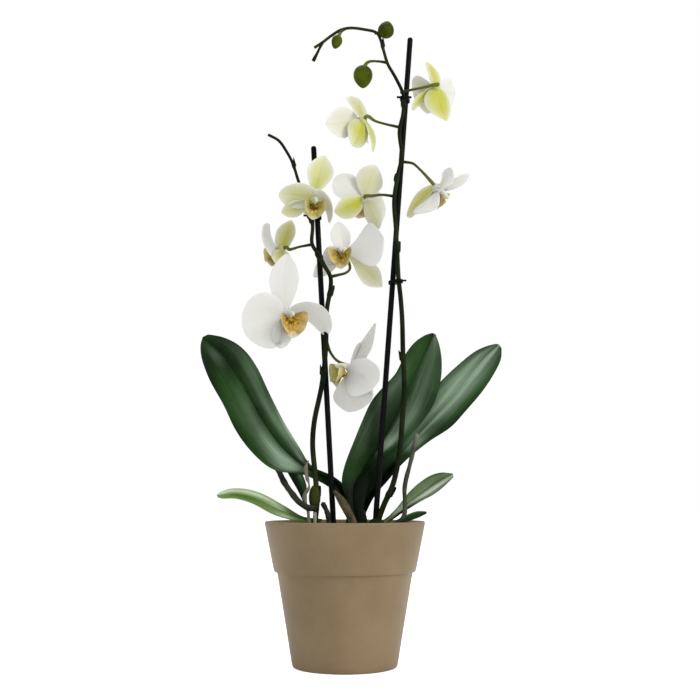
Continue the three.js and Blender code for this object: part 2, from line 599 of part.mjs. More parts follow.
// ---- roots and dry remains at the foot of the plant ----
const roots = {
  root_loop_left: {
    radius: 2.6, look: "darkRoot",
    route: [[-24, -14, 132], [-27, -19, 131], [-32, -21, 132], [-38, -21, 136], [-45, -18, 144],
      [-51, -11, 152], [-56, -2, 161], [-60, 6, 169]],
  },
  root_upright_right: {
    radius: 1.9, look: "root",
    route: [[38, -20, 98], [42, -20, 116], [49, -20, 124], [50.4, -19, 132], [50, -18, 145],
      [51, -17, 153], [55, -16, 168], [58.4, -14, 181], [61.5, -12, 194]],
  },
  root_grey_left: {
    radius: 1.5, look: "root",
    route: [[-25, -20, 98], [-25, -20, 117], [-25, -19, 128]],
  },
  root_dark_left: {
    radius: 2.2, look: "darkRoot",
    route: [[-12, -18, 98], [-13, -18, 117], [-15, -19, 128], [-19, -18, 136]],
  },
  dry_twig_left: {
    radius: 1.4, look: "sheath",
    route: [[-31, -20, 98], [-30, -20, 118], [-31, -20, 130], [-34, -18, 141], [-30, -18.5, 149],
      [-32, -16, 157], [-33, -14, 165], [-31, -10, 171]],
  },
};

const oldSheath = {
  left: [[5, -14, 102], [4, -15, 117], [-1, -16, 127], [-6, -16, 136], [-10, -15, 145]],
  rib: [[9, -17, 102], [8, -18, 117], [3, -19, 129], [-2, -18, 137], [-9, -17, 146]],
  right: [[13, -14, 102], [11, -15, 117], [6, -16, 129], [1, -16, 138], [-8, -15, 146]],
};

function root({ route, radius }, margin) {
  return tube(rootedCurve(route, margin), radius + margin, 6, 2 * route.length);
}

// ---- clips that hold a spike to its stake ----
const clipHeight = 3;
const clipWall = 1.1;
const clips = {
  clip_left: { side: "left", height: 383 },
  clip_right_low: { side: "right", height: 325 },
  clip_right_high: { side: "right", height: 490 },
};

function pathAtHeight(path, height) {
  const samples = path.getSpacedPoints(400).filter((p) => p.z > 0);
  return samples.reduce((best, p) => (Math.abs(p.z - height) < Math.abs(best.z - height) ? p : best));
}

function clip({ side, height }, margin) {
  const onStake = pathAtHeight(new THREE.LineCurve3(...stakes[side].map(point)), height);
  const onSpike = pathAtHeight(curveThrough(spikes[side].points), height);
  const across = onSpike.clone().sub(onStake).setZ(0);
  const half = stakeRadius + gap + clipWall + margin;
  const outer = new THREE.Shape();
  outer.absarc(0, 0, half, Math.PI / 2, (3 * Math.PI) / 2);
  outer.absarc(across.length(), 0, half, -Math.PI / 2, Math.PI / 2);
  const options = { depth: clipHeight + 2 * margin, bevelEnabled: false, curveSegments: 3 };
  const band = new THREE.ExtrudeGeometry(outer, options);
  band.rotateZ(Math.atan2(across.y, across.x));
  band.translate(onStake.x, onStake.y, height - clipHeight / 2 - margin);
  const tabs = new THREE.BoxGeometry(13, 2, 1.4);
  tabs.translate(onSpike.x, onSpike.y - half + 0.8, height);
  return toSolid(band).add(toSolid(tabs));
}

// ---- bark, nursery pot and cover pot ----
function seededRandom(seed) {
  let state = seed;
  return () => {
    state = (state * 16807) % 2147483647;
    return state / 2147483647;
  };
}

function barkMix(margin) {
  const inside = growerWall + gap;
  const profile = [
    [0, potFloor + 3], [growerFootRadius - inside, potFloor + 3],
    [growerTopRadius - inside - 0.6, barkSurface - 4], [0, barkSurface - 2],
  ];
  const chips = [lathe(profile, innerSides)];
  const random = seededRandom(41);
  for (let k = 0; k < chipCount; k++) {
    const reach = (growerTopRadius - 11) * Math.sqrt((k + 0.5) / chipCount);
    const round = k * 2.4;
    const chip = new THREE.BoxGeometry(chipSize * (0.7 + random()), chipSize * (0.5 + random() / 2), 6);
    chip.rotateX(random() - 0.5).rotateY(random() - 0.5).rotateZ(3 * random());
    chip.translate(reach * Math.cos(round), reach * Math.sin(round), barkSurface - 3.4 + 2 * random());
    chips.push(toSolid(chip));
  }
  return join(chips);
}

function growerPot() {
  const profile = [
    [0, potFloor + gap], [growerFootRadius, potFloor + gap], [growerTopRadius, growerHeight],
    [growerTopRadius - growerWall, growerHeight],
    [growerFootRadius - growerWall, potFloor + gap + growerWall], [0, potFloor + gap + growerWall],
  ];
  return lathe(profile, innerSides);
}

function coverPot() {
  const profile = [
    [0, 0], [footRadius - 1.5, 0], [footRadius, 1.5], [bodyTopRadius, collarFootHeight],
    [collarFootRadius, collarFootHeight], [rimRadius - 0.4, potHeight - 0.8],
    [rimRadius - 1, potHeight], [rimRadius - potWall, potHeight],
    [collarFootRadius - potWall, collarFootHeight + 4],
    [bodyTopRadius - potWall, collarFootHeight], [footRadius - potWall, potFloor], [0, potFloor],
  ];
  return lathe(profile, potSides);
}

// ---- assembly ----
function stalksOf(side) {
  const own = Object.values(blooms).filter((data) => data.spike === side);
  const routes = own.map((data) => [...data.stalk, ...stalkEnd(data)]);
  return side === "right" ? [...routes, ...budStalks] : routes;
}

// The last stretch of a bloom's stalk comes in from straight behind the bloom.
function stalkEnd(data) {
  const place = bloomPlace(data);
  return [-hubRadius - stalkStraight, -hubRadius + 0.8].map((depth) =>
    new THREE.Vector3(0, 0, depth).applyMatrix4(place).toArray(),
  );
}

addNode("stake_left", finishes.stake, (margin) => stake(stakes.left, margin));
addNode("stake_right", finishes.stake, (margin) => stake(stakes.right, margin));
addNode("spike_left", finishes.stem, (margin) => spike(spikes.left, stalksOf("left"), margin));
addNode("spike_right", finishes.stem, (margin) => spike(spikes.right, stalksOf("right"), margin));
for (const [name, data] of Object.entries(clips)) {
  addNode(name, finishes.stake, (margin) => clip(data, margin));
}
for (const [number, data] of Object.entries(buds)) {
  addNode("bud_" + number, finishes.bud, (margin) => bud(data, margin));
}
for (const [name, data] of Object.entries(blooms)) {
  addNode("bloom_" + name, finishes.petal, (margin) => bloom(data, margin));
  addNode("lip_" + name, finishes.lip, (margin) => lip(data, margin));
}
addNode("crown", finishes.crown, crown);
for (const [name, data] of Object.entries(leaves)) {
  const look = name === "leaf_low_left" ? finishes.paleLeaf : finishes.leaf;
  addNode(name, look, (margin) => leaf(data, margin));
}
for (const [name, data] of Object.entries(roots)) {
  addNode(name, finishes[data.look], (margin) => root(data, margin));
}
addNode("old_sheath", finishes.sheath, (margin) =>
  blade(leafMiddle(oldSheath, margin), 6, 4, 1.2 + 2 * margin),
);
addNode("bark_mix", finishes.bark, barkMix);
addNode("grower_pot", finishes.nursery, growerPot);
addNode("cover_pot", finishes.pot, coverPot);

export default orchid;
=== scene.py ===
# White moth orchid with two flower spikes in a taupe cover pot
import bpy
import math
import random
from math import cos, exp, pi, radians, sin
from mathutils import Matrix, Quaternion, Vector


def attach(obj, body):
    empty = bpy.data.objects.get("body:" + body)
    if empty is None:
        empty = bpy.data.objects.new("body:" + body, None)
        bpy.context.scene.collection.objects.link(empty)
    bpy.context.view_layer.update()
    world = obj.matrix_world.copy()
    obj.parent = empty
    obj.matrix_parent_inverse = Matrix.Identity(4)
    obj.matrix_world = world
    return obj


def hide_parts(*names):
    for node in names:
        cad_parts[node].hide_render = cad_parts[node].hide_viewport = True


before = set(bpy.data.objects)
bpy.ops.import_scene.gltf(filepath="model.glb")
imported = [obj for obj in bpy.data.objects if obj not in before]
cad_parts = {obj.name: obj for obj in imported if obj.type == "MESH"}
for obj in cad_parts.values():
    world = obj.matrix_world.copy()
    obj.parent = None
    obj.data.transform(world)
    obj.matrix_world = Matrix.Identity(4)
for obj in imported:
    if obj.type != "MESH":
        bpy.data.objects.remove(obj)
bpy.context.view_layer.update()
mm = 0.001  # the plans below are in millimetres, the scene in metres
scene = bpy.context.scene


# small helpers
def clearSelection():
    if bpy.context.object and bpy.context.object.mode != "OBJECT":
        bpy.ops.object.mode_set(mode="OBJECT")
    bpy.ops.object.select_all(action="DESELECT")


def pick(obj):
    clearSelection()
    obj.select_set(True)
    bpy.context.view_layer.objects.active = obj


def applyModifiers(obj):
    pick(obj)
    for modifier in list(obj.modifiers):
        bpy.ops.object.modifier_apply(modifier=modifier.name)


def joinAll(parts, name):
    clearSelection()
    for part in parts:
        part.select_set(True)
    bpy.context.view_layer.objects.active = parts[0]
    if len(parts) > 1:
        bpy.ops.object.join()
    whole = bpy.context.object
    whole.name = whole.data.name = name
    return whole


def settle(obj, material, slotName, *nodes):
    # the piece's place goes into its mesh, then it joins the plant and hides the solids it stands for
    pick(obj)
    bpy.ops.object.transform_apply(location=True, rotation=True, scale=True)
    bpy.ops.object.shade_smooth()
    if material:
        obj.data.materials.clear()
        obj.data.materials.append(material)
    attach(obj, "root")
    if nodes:
        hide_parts(*nodes)
    return obj


def plainName(node):
    first, *others = node.split("_")
    return first + "".join(word.capitalize() for word in others)


def paint(obj, attribute, values):
    # a value for each point of the mesh, which the materials read
    layer = obj.data.attributes.get(attribute) or obj.data.attributes.new(attribute, "FLOAT", "POINT")
    for item, value in zip(layer.data, values):
        item.value = value


def paintAll(obj, **values):
    for attribute, value in values.items():
        paint(obj, attribute, [value] * len(obj.data.vertices))


def routeThrough(points):
    # a smooth curve through the points; returns at(share of the length)
    stops = [Vector(p) for p in points]
    stops = [stops[0] * 2 - stops[1]] + stops + [stops[-1] * 2 - stops[-2]]
    dense, stepsBetween = [], 24
    for k in range(len(stops) - 3):
        a, b, c, d = stops[k:k + 4]
        s, t, w = [max((q - p).length ** 0.5, 1e-3) for p, q in ((a, b), (b, c), (c, d))]
        leave = ((b - a) / s - (c - a) / (s + t) + (c - b) / t) * t
        arrive = ((c - b) / t - (d - b) / (t + w) + (d - c) / w) * t
        for i in range(stepsBetween):
            x = i / stepsBetween
            dense.append(b * (2 * x**3 - 3 * x**2 + 1) + leave * (x**3 - 2 * x**2 + x)
                         + c * (3 * x**2 - 2 * x**3) + arrive * (x**3 - x**2))
    dense.append(stops[-2])
    reached = [0.0]
    for p, q in zip(dense, dense[1:]):
        reached.append(reached[-1] + (q - p).length)

    def at(share):
        goal = min(max(share, 0), 1) * reached[-1]
        low, high = 0, len(reached) - 1
        while high - low > 1:
            middle = (low + high) // 2
            low, high = (middle, high) if reached[middle] <= goal else (low, middle)
        part = (goal - reached[low]) / max(reached[high] - reached[low], 1e-9)
        return dense[low].lerp(dense[high], part)

    at.length = reached[-1]
    return at


def makeTube(name, points, radiusAt, spacing=1.6, sides=16):
    route = routeThrough(points)
    count = max(int(route.length / spacing), 6)
    curve = bpy.data.curves.new(name, "CURVE")
    curve.dimensions = "3D"
    curve.bevel_depth = mm
    curve.bevel_resolution = sides // 4 - 1
    curve.use_fill_caps = True
    spline = curve.splines.new("POLY")
    spline.points.add(count)
    for k, spot in enumerate(spline.points):
        spot.co = (*(route(k / count) * mm), 1)
        spot.radius = radiusAt(k / count)
    tube = bpy.data.objects.new(name, curve)
    scene.collection.objects.link(tube)
    pick(tube)
    bpy.ops.object.convert(target="MESH")
    return bpy.context.object


bladeShape = {"crowding": 1.35, "edge": 0.45}  # how close the rows lie at the tip, how thin the edge is


def makeBlade(name, placeAt, along, across, thickness, values=None):
    # a grid shaped by placeAt(u, v), u from foot to tip and v from -1 to 1, then given its thickness
    clearSelection()
    bpy.ops.mesh.primitive_grid_add(x_subdivisions=along, y_subdivisions=across, size=1)
    blade = bpy.context.object
    blade.name = name
    crowding = bladeShape["crowding"]
    spots = [(1 - (0.5 - vert.co.x) ** crowding, 2 * vert.co.y) for vert in blade.data.vertices]
    for attribute, valueAt in (values or {}).items():
        paint(blade, attribute, [valueAt(u, v) for u, v in spots])
    body = blade.vertex_groups.new(name="body")
    for (u, v), vert in zip(spots, blade.data.vertices):
        vert.co = Vector(placeAt(u, v)) * mm
        body.add([vert.index], (1 - abs(v) ** 3) * (1 - u**6), "REPLACE")
    wall = blade.modifiers.new("wall", "SOLIDIFY")
    wall.thickness = thickness * mm
    wall.offset = 0
    wall.vertex_group, wall.thickness_vertex_group = "body", bladeShape["edge"]
    rounder = blade.modifiers.new("rounder", "SUBSURF")
    rounder.levels = rounder.render_levels = 1
    applyModifiers(blade)
    return blade


def spinProfile(name, profile, steps=96):
    # profile of (radius, height) in mm, from the axis back to the axis
    clearSelection()
    bpy.ops.mesh.primitive_plane_add(size=1)
    turned = bpy.context.object
    turned.name = name
    mesh = bpy.data.meshes.new(name)
    mesh.from_pydata([(r * mm, 0, z * mm) for r, z in profile],
                     [(k, k + 1) for k in range(len(profile) - 1)], [])
    turned.data = mesh
    pick(turned)
    bpy.ops.object.mode_set(mode="EDIT")
    bpy.ops.mesh.select_all(action="SELECT")
    bpy.ops.mesh.spin(steps=steps, angle=2 * pi, center=(0, 0, 0), axis=(0, 0, 1))
    bpy.ops.mesh.select_all(action="SELECT")
    bpy.ops.mesh.remove_doubles(threshold=0.00002)
    bpy.ops.mesh.normals_make_consistent(inside=False)
    bpy.ops.object.mode_set(mode="OBJECT")
    return turned


# materials
def newFinish(name, **sockets):
    material = bpy.data.materials.new(name)
    material.use_nodes = True
    shader = material.node_tree.nodes["Principled BSDF"]
    for socket, value in sockets.items():
        shader.inputs[socket.replace("_", " ")].default_value = value
    return material, material.node_tree


def put(tree, kind, settings=None, **inputs):
    # adds a node; an input is a number, a colour or another node's output
    made = tree.nodes.new("ShaderNode" + kind)
    for key, value in (settings or {}).items():
        setattr(made, key, value)
    for key, value in inputs.items():
        socket = made.inputs[int(key[1:])] if key[0] == "_" else made.inputs[key.replace("_", " ")]
        if isinstance(value, bpy.types.NodeSocket):
            tree.links.new(value, socket)
        else:
            socket.default_value = value
    return made


def blendColours(tree, share, low, high):
    mixer = put(tree, "Mix", {"data_type": "RGBA"})
    for index, value in ((0, share), (6, low), (7, high)):
        if isinstance(value, bpy.types.NodeSocket):
            tree.links.new(value, mixer.inputs[index])
        else:
            mixer.inputs[index].default_value = value if index == 0 else (*value[:3], 1)
    return mixer.outputs[2]


def ranged(tree, value, low, high, toLow=0.0, toHigh=1.0):
    return put(tree, "MapRange", {"interpolation_type": "SMOOTHSTEP"}, Value=value, From_Min=low,
               From_Max=high, To_Min=toLow, To_Max=toHigh).outputs["Result"]


def mathNode(tree, operation, first, second=0.0):
    return put(tree, "Math", {"operation": operation}, _0=first, _1=second).outputs[0]


def times(tree, first, second):
    return mathNode(tree, "MULTIPLY", first, second)


def onPiece(tree):
    return put(tree, "TexCoord").outputs["Object"]


def ownMap(tree):
    # the piece's own map: x runs from foot to tip, y across
    return put(tree, "UVMap", {"uv_map": "UVMap"}).outputs[0]


def offLine(tree, flat, line=0.5):
    # how far off a line along a blade; the midrib is at 0.5
    across = put(tree, "SeparateXYZ", Vector=flat).outputs[1]
    return mathNode(tree, "ABSOLUTE", mathNode(tree, "SUBTRACT", across, line))


def painted(tree, attribute):
    return put(tree, "Attribute", {"attribute_name": attribute}).outputs["Fac"]


def noiseOn(tree, vector, scale, detail=3.0, roughness=0.55, stretch=None):
    if stretch:
        vector = put(tree, "Mapping", Vector=vector, Scale=stretch).outputs[0]
    return put(tree, "TexNoise", Vector=vector, Scale=scale, Detail=detail,
               Roughness=roughness).outputs["Fac"]


def mottled(tree, cloud, low, high, look):
    return blendColours(tree, ranged(tree, cloud, low, high), look["deep"], look["light"])


def finishWith(material, colour, roughness=None, bump=None, strength=0.2, distance=0.001):
    tree = material.node_tree
    inputs = tree.nodes["Principled BSDF"].inputs
    tree.links.new(colour, inputs["Base Color"])
    if roughness is not None:
        tree.links.new(roughness, inputs["Roughness"])
    if bump is not None:
        raised = put(tree, "Bump", Strength=strength, Distance=distance, Height=bump)
        tree.links.new(raised.outputs[0], inputs["Normal"])
    return material


petalLook = {"white": (0.65, 0.65, 0.635), "green": (0.42, 0.43, 0.018), "vein": (0.57, 0.575, 0.55),
             "rib": (0.25, 0.29, 0.02)}


def petalFinish(look):
    material, tree = newFinish("softPetal", Roughness=0.5, Subsurface_Weight=0.45, Subsurface_Scale=0.003,
                               Subsurface_Radius=(1, 0.9, 0.7), Sheen_Weight=0.15)
    flat = ownMap(tree)
    spread = put(tree, "Mapping", Vector=flat, Scale=(1.2, 26, 1)).outputs[0]
    veins = put(tree, "TexNoise", Vector=spread, Scale=1.0, Detail=4.0, Distortion=0.4).outputs["Fac"]
    cloud = noiseOn(tree, onPiece(tree), 60, 2)
    blush = painted(tree, "blush")
    veinShare = times(tree, ranged(tree, veins, 0.52, 0.62), 0.2)
    veined = blendColours(tree, veinShare, look["white"], look["vein"])
    patch = times(tree, blush, ranged(tree, cloud, 0.2, 0.7, 0.85, 1.1))
    tinted = blendColours(tree, patch, veined, look["green"])
    line = times(tree, ranged(tree, offLine(tree, flat), 0.004, 0.022, 0.5, 0.0), blush)
    ribbed = blendColours(tree, line, tinted, look["rib"])
    return finishWith(material, ribbed, bump=veins, strength=0.1, distance=0.0002)


# the pale colour of each look serves the leaf's fine light streaks and, mostly, painted sheen: a highlight
# painted where light falls; shade is the colour of painted shade
leafLook = {"shade": (0.0015, 0.006, 0.001), "deep": (0.004, 0.017, 0.0025), "light": (0.014, 0.05, 0.007),
            "frost": (0.27, 0.37, 0.26)}
# the small right leaf: paler green, with a brighter colour for its painted sheen
smallLook = {"shade": (0.004, 0.008, 0.002), "deep": (0.06, 0.1, 0.035), "light": (0.14, 0.2, 0.09),
             "frost": (0.55, 0.62, 0.52)}
paleLook = {"shade": (0.03, 0.06, 0.008), "deep": (0.06, 0.12, 0.02), "light": (0.12, 0.21, 0.05),
            "frost": (0.52, 0.62, 0.42)}


def leafFinish(name, look):
    material, tree = newFinish(name, Roughness=0.42, Specular_IOR_Level=0.07)
    flat = ownMap(tree)
    fine = noiseOn(tree, flat, 1.0, 5, 0.65, (4, 110, 1))
    broad = noiseOn(tree, flat, 1.0, 3, 0.5, (2.2, 7, 1))
    base = mottled(tree, noiseOn(tree, onPiece(tree), 22, 3), 0.35, 0.65, look)
    streaked = blendColours(tree, ranged(tree, fine, 0.45, 0.7, 0, 0.09), base, look["frost"])
    # painted light from the leaf's patches: below zero painted shade, above zero painted sheen
    uneven = times(tree, painted(tree, "sheen"), ranged(tree, broad, 0.25, 0.7, 0.8, 1.15))
    dark = mathNode(tree, "MINIMUM", times(tree, uneven, -1.2), 1.0)
    withPaintedShade = blendColours(tree, mathNode(tree, "MAXIMUM", dark, 0.0), streaked, look["shade"])
    # painted sheen, broken up by the fine streaks
    paintedSheenShare = mathNode(tree, "POWER", mathNode(tree, "MAXIMUM", uneven, 0.0), 1.9)
    grained = times(tree, paintedSheenShare, ranged(tree, fine, 0.35, 0.65, 0.65, 1.3))
    withPaintedSheen = blendColours(tree, grained, withPaintedShade, look["frost"])
    # painted shade: a dark line along the crease of the midrib
    rib = ranged(tree, offLine(tree, flat), 0.004, 0.018, 0.85, 0.0)
    withRibShade = blendColours(tree, rib, withPaintedSheen, look["deep"])
    # painted highlight: a pale line beside the midrib, where one side of its fold catches the light
    ribSideHighlight = ranged(tree, offLine(tree, flat, 0.522), 0.003, 0.011, 0.28, 0.0)
    ribbed = blendColours(tree, ribSideHighlight, withRibShade, look["frost"])
    height = mathNode(tree, "ADD", times(tree, fine, 0.5), broad)
    return finishWith(material, ribbed, ranged(tree, fine, 0.3, 0.7, 0.36, 0.52), height, 0.45, 0.0007)


stemLook = {"deep": (0.003, 0.006, 0.001), "light": (0.013, 0.02, 0.004), "young": (0.2, 0.22, 0.03)}
crownLook = {"deep": (0.002, 0.006, 0.001), "light": (0.008, 0.022, 0.003), "young": (0.2, 0.22, 0.03)}
budLook = {"deep": (0.028, 0.042, 0.0005), "light": (0.075, 0.105, 0.0015), "young": (0.2, 0.22, 0.03)}


def stemFinish(name, look, rough=0.45):
    material, tree = newFinish(name, Roughness=rough, Specular_IOR_Level=0.07)
    place = onPiece(tree)
    streak = noiseOn(tree, place, 1.0, 4, 0.6, (900, 900, 60))
    base = mottled(tree, noiseOn(tree, place, 45, 3), 0.35, 0.7, look)
    lined = blendColours(tree, ranged(tree, streak, 0.5, 0.7, 0, 0.4), base, look["light"])
    greened = blendColours(tree, painted(tree, "young"), lined, look["young"])
    uneven = ranged(tree, streak, 0.3, 0.7, rough - 0.08, rough + 0.12)
    return finishWith(material, greened, uneven, streak, 0.3, 0.0003)


silverLook = {"deep": (0.014, 0.018, 0.01), "light": (0.06, 0.07, 0.045), "pale": (0.36, 0.38, 0.31)}
darkLook = {"deep": (0.005, 0.009, 0.004), "light": (0.03, 0.04, 0.022), "pale": (0.36, 0.38, 0.31)}
dryLook = {"deep": (0.03, 0.025, 0.012), "light": (0.13, 0.1, 0.055), "pale": (0.36, 0.38, 0.31)}


def rootFinish(name, look):
    material, tree = newFinish(name, Roughness=0.75, Specular_IOR_Level=0.12)
    place = onPiece(tree)
    skin = noiseOn(tree, place, 420, 5, 0.65)
    base = mottled(tree, noiseOn(tree, place, 60, 4), 0.35, 0.65, look)
    flecked = blendColours(tree, ranged(tree, skin, 0.45, 0.7, 0, 0.5), base, look["light"])
    whitened = blendColours(tree, painted(tree, "pale"), flecked, look["pale"])
    return finishWith(material, whitened, bump=skin, strength=0.5, distance=0.0004)


potLook = {"deep": (0.19, 0.132, 0.066), "light": (0.25, 0.178, 0.096), "speck": (0.33, 0.245, 0.145)}


def potFinish(look):
    material, tree = newFinish("potGlaze", Roughness=0.45, Specular_IOR_Level=0.3, Coat_Weight=0.06,
                               Coat_Roughness=0.35)
    place = onPiece(tree)
    grain = noiseOn(tree, place, 900, 3, 0.6)
    turned = noiseOn(tree, place, 1.0, 2, 0.5, (3, 3, 260))  # faint rings round the pot
    base = mottled(tree, noiseOn(tree, place, 14, 4), 0.3, 0.7, look)
    speckled = blendColours(tree, ranged(tree, grain, 0.55, 0.75, 0, 0.3), base, look["speck"])
    height = mathNode(tree, "ADD", grain, times(tree, turned, 0.8))
    return finishWith(material, speckled, ranged(tree, grain, 0.3, 0.7, 0.36, 0.5), height, 0.18, 0.0003)


barkLook = {"deep": (0.035, 0.018, 0.009), "light": (0.15, 0.08, 0.04), "worn": (0.24, 0.15, 0.085)}


def barkFinish(look):
    material, tree = newFinish("barkChips", Roughness=0.9)
    place = onPiece(tree)
    grain = noiseOn(tree, place, 1.0, 6, 0.7, (160, 160, 700))
    base = mottled(tree, noiseOn(tree, place, 75, 4), 0.3, 0.7, look)
    worn = blendColours(tree, ranged(tree, grain, 0.5, 0.75, 0, 0.6), base, look["worn"])
    return finishWith(material, worn, bump=grain, strength=0.8, distance=0.0012)


lipLook = {"deep": (0.42, 0.23, 0.006), "light": (0.66, 0.43, 0.015), "olive": (0.42, 0.4, 0.03),
           "pale": (0.6, 0.58, 0.48), "brown": (0.085, 0.03, 0.003)}


def lipFinish(look):
    material, tree = newFinish("goldenLip", Roughness=0.42, Specular_IOR_Level=0.25, Coat_Weight=0.08,
                               Coat_Roughness=0.25)
    place = onPiece(tree)
    spots = noiseOn(tree, place, 420, 2, 0.5)
    streaks = noiseOn(tree, ownMap(tree), 1.0, 2, 0.5, (2.5, 16, 1))
    gold = mottled(tree, noiseOn(tree, place, 160, 2), 0.35, 0.65, look)
    greened = blendColours(tree, painted(tree, "olive"), gold, look["olive"])
    whitened = blendColours(tree, painted(tree, "blush"), greened, look["pale"])
    marks = mathNode(tree, "MAXIMUM", ranged(tree, spots, 0.46, 0.56), ranged(tree, streaks, 0.5, 0.58))
    # below 1 the brown shows as spots and streaks, above 1 it also fills in between
    brown = painted(tree, "freckle")
    solid = mathNode(tree, "MAXIMUM", mathNode(tree, "SUBTRACT", brown, 1.0), 0.0)
    share = mathNode(tree, "MINIMUM", mathNode(tree, "ADD", times(tree, marks, brown), solid), 1.0)
    spotted = blendColours(tree, share, whitened, look["brown"])
    return finishWith(material, spotted, bump=spots, strength=0.15, distance=0.0002)


stakeLook = {"deep": (0.0015, 0.0018, 0.002), "light": (0.004, 0.0045, 0.005)}
nurseryLook = {"deep": (0.012, 0.012, 0.012), "light": (0.03, 0.03, 0.03)}


def plasticFinish(name, look, scale, rough):
    material, tree = newFinish(name, Roughness=rough, Specular_IOR_Level=0.06)
    grain = noiseOn(tree, onPiece(tree), scale, 4, 0.6)
    uneven = ranged(tree, grain, 0.3, 0.7, rough - 0.07, rough + 0.08)
    return finishWith(material, mottled(tree, grain, 0.3, 0.7, look), uneven, grain, 0.2, 0.0003)


petalSkin, lipSkin = petalFinish(petalLook), lipFinish(lipLook)
potGlaze, barkSkin = potFinish(potLook), barkFinish(barkLook)
leafSkin, smallSkin = leafFinish("darkLeaf", leafLook), leafFinish("paleSheenLeaf", smallLook)
paleSkin = leafFinish("paleLeaf", paleLook)
stemSkin, crownSkin = stemFinish("darkStem", stemLook), stemFinish("crownGreen", crownLook)
budSkin = stemFinish("budGreen", budLook, 0.42)
greyRoot, darkRoot = rootFinish("silverRoot", silverLook), rootFinish("darkRoot", darkLook)
drySkin = rootFinish("drySheath", dryLook)
stakeSkin = plasticFinish("stakePlastic", stakeLook, 260, 0.5)
nurserySkin = plasticFinish("nurseryPlastic", nurseryLook, 90, 0.55)
print("finishes ready")

# pot
potPlan = {"top": 120, "rim": 68.5, "collarFoot": 60, "step": 78, "bodyTop": 57.4, "foot": 44, "wall": 3,
           "floor": 4}


def makePot(plan):
    top, rim, collarFoot, step, bodyTop, foot, wall, floor = [plan[key] for key in (
        "top", "rim", "collarFoot", "step", "bodyTop", "foot", "wall", "floor")]
    profile = [(0, 1.2), (foot - 7, 1.2), (foot - 6, 0), (foot - 1.6, 0), (foot - 0.5, 0.4),
               (foot + 0.1, 1.6)]
    profile += [(foot + (bodyTop - foot) * k / 14, step * k / 14) for k in range(1, 14)]
    profile += [(bodyTop - 0.1, step - 1.2), (bodyTop + 0.1, step - 0.4), (bodyTop + 0.5, step),
                (collarFoot - 0.9, step), (collarFoot - 0.2, step + 0.4), (collarFoot + 0.15, step + 1.4)]
    profile += [(collarFoot + (rim - collarFoot) * k / 8, step + (top - step) * k / 8) for k in range(1, 8)]
    profile += [(rim - 0.3, top - 1.6), (rim - 0.5, top - 0.7), (rim - 1, top - 0.15), (rim - 1.6, top),
                (rim - wall + 0.9, top - 0.1), (rim - wall + 0.2, top - 0.6), (rim - wall, top - 1.4),
                (collarFoot - wall, step + 4), (bodyTop - wall, step), (foot - wall, floor), (0, floor)]
    return settle(spinProfile("coverPot", profile, 128), potGlaze, "pot", "cover_pot")


nurseryPlan = {"profile": [(0, 4.4), (38, 4.4), (52.9, 102.6), (53, 103.6), (52.6, 104), (51.8, 103.8),
                           (51.6, 102.8), (36.8, 5.8), (0, 5.8)]}

makePot(potPlan)
settle(spinProfile("nurseryPot", nurseryPlan["profile"], 72), nurserySkin, "nursery_pot", "grower_pot")
print("pots done")

# bark
barkPlan = {"surface": 104.2, "chips": 190, "kinds": 7, "reach": 48, "seed": 5,
            "size": ((7, 14), (5, 9), (2.2, 4.6)), "uneven": 0.8, "spiral": 2.4, "edge": 0.5}


def makeChip(rng, name):
    clearSelection()
    bpy.ops.mesh.primitive_cube_add(size=1)
    chip = bpy.context.object
    chip.name = name
    bpy.ops.object.mode_set(mode="EDIT")
    bpy.ops.mesh.subdivide(number_cuts=1)
    bpy.ops.object.mode_set(mode="OBJECT")
    size = Vector([rng.uniform(*span) for span in barkPlan["size"]]) * mm
    uneven = barkPlan["uneven"]
    for vert in chip.data.vertices:
        vert.co = Vector([vert.co[k] * size[k] for k in range(3)])
        vert.co += Vector([rng.uniform(-uneven, uneven) * mm for axis in range(3)])
    edges = chip.modifiers.new("edges", "BEVEL")
    edges.width, edges.segments = barkPlan["edge"] * mm, 1
    applyModifiers(chip)
    return chip


def makeBark(plan):
    rng = random.Random(plan["seed"])
    kinds = [makeChip(rng, f"chip{k}") for k in range(plan["kinds"])]
    bed = spinProfile("barkBed", [(0, 8), (36.4, 8), (51, plan["surface"] - 3), (0, plan["surface"] - 2)], 48)
    parts = [bed]
    for k in range(plan["chips"]):
        chip = kinds[k % len(kinds)].copy()
        chip.data = chip.data.copy()
        scene.collection.objects.link(chip)
        reach = plan["reach"] * math.sqrt((k + 0.5) / plan["chips"])
        chip.rotation_euler = (rng.uniform(-0.5, 0.5), rng.uniform(-0.5, 0.5), rng.uniform(0, 2 * pi))
        around = k * plan["spiral"]
        chip.location = (reach * cos(around) * mm, reach * sin(around) * mm,
                         (plan["surface"] + rng.uniform(-2.4, 0.9)) * mm)
        parts.append(chip)
    for kind in kinds:
        bpy.data.objects.remove(kind)
    settle(joinAll(parts, "barkMix"), barkSkin, "bark", "bark_mix")
    bpy.ops.object.shade_smooth_by_angle(angle=radians(35))


makeBark(barkPlan)
print("bark done")

# stakes and clips
stakePlan = {"radius": 2.4, "tip": 2, "left": [(-4.2, -10, 20), (-28, -10, 448.4)],
             "right": [(18.2, -10, 20), (58.5, -10, 549.6)]}


def makeStake(side):
    length = (Vector(stakePlan[side][1]) - Vector(stakePlan[side][0])).length
    tip = stakePlan["tip"]

    def radiusAt(u):
        fromTip = (1 - u) * length
        rounding = 1 if fromTip > tip else math.sqrt(max(1 - ((tip - fromTip) / tip) ** 2, 0.02))
        return stakePlan["radius"] * rounding

    pole = makeTube("stake" + side.capitalize(), stakePlan[side], radiusAt, 0.8, 20)
    return settle(pole, stakeSkin, "stake", "stake_" + side)


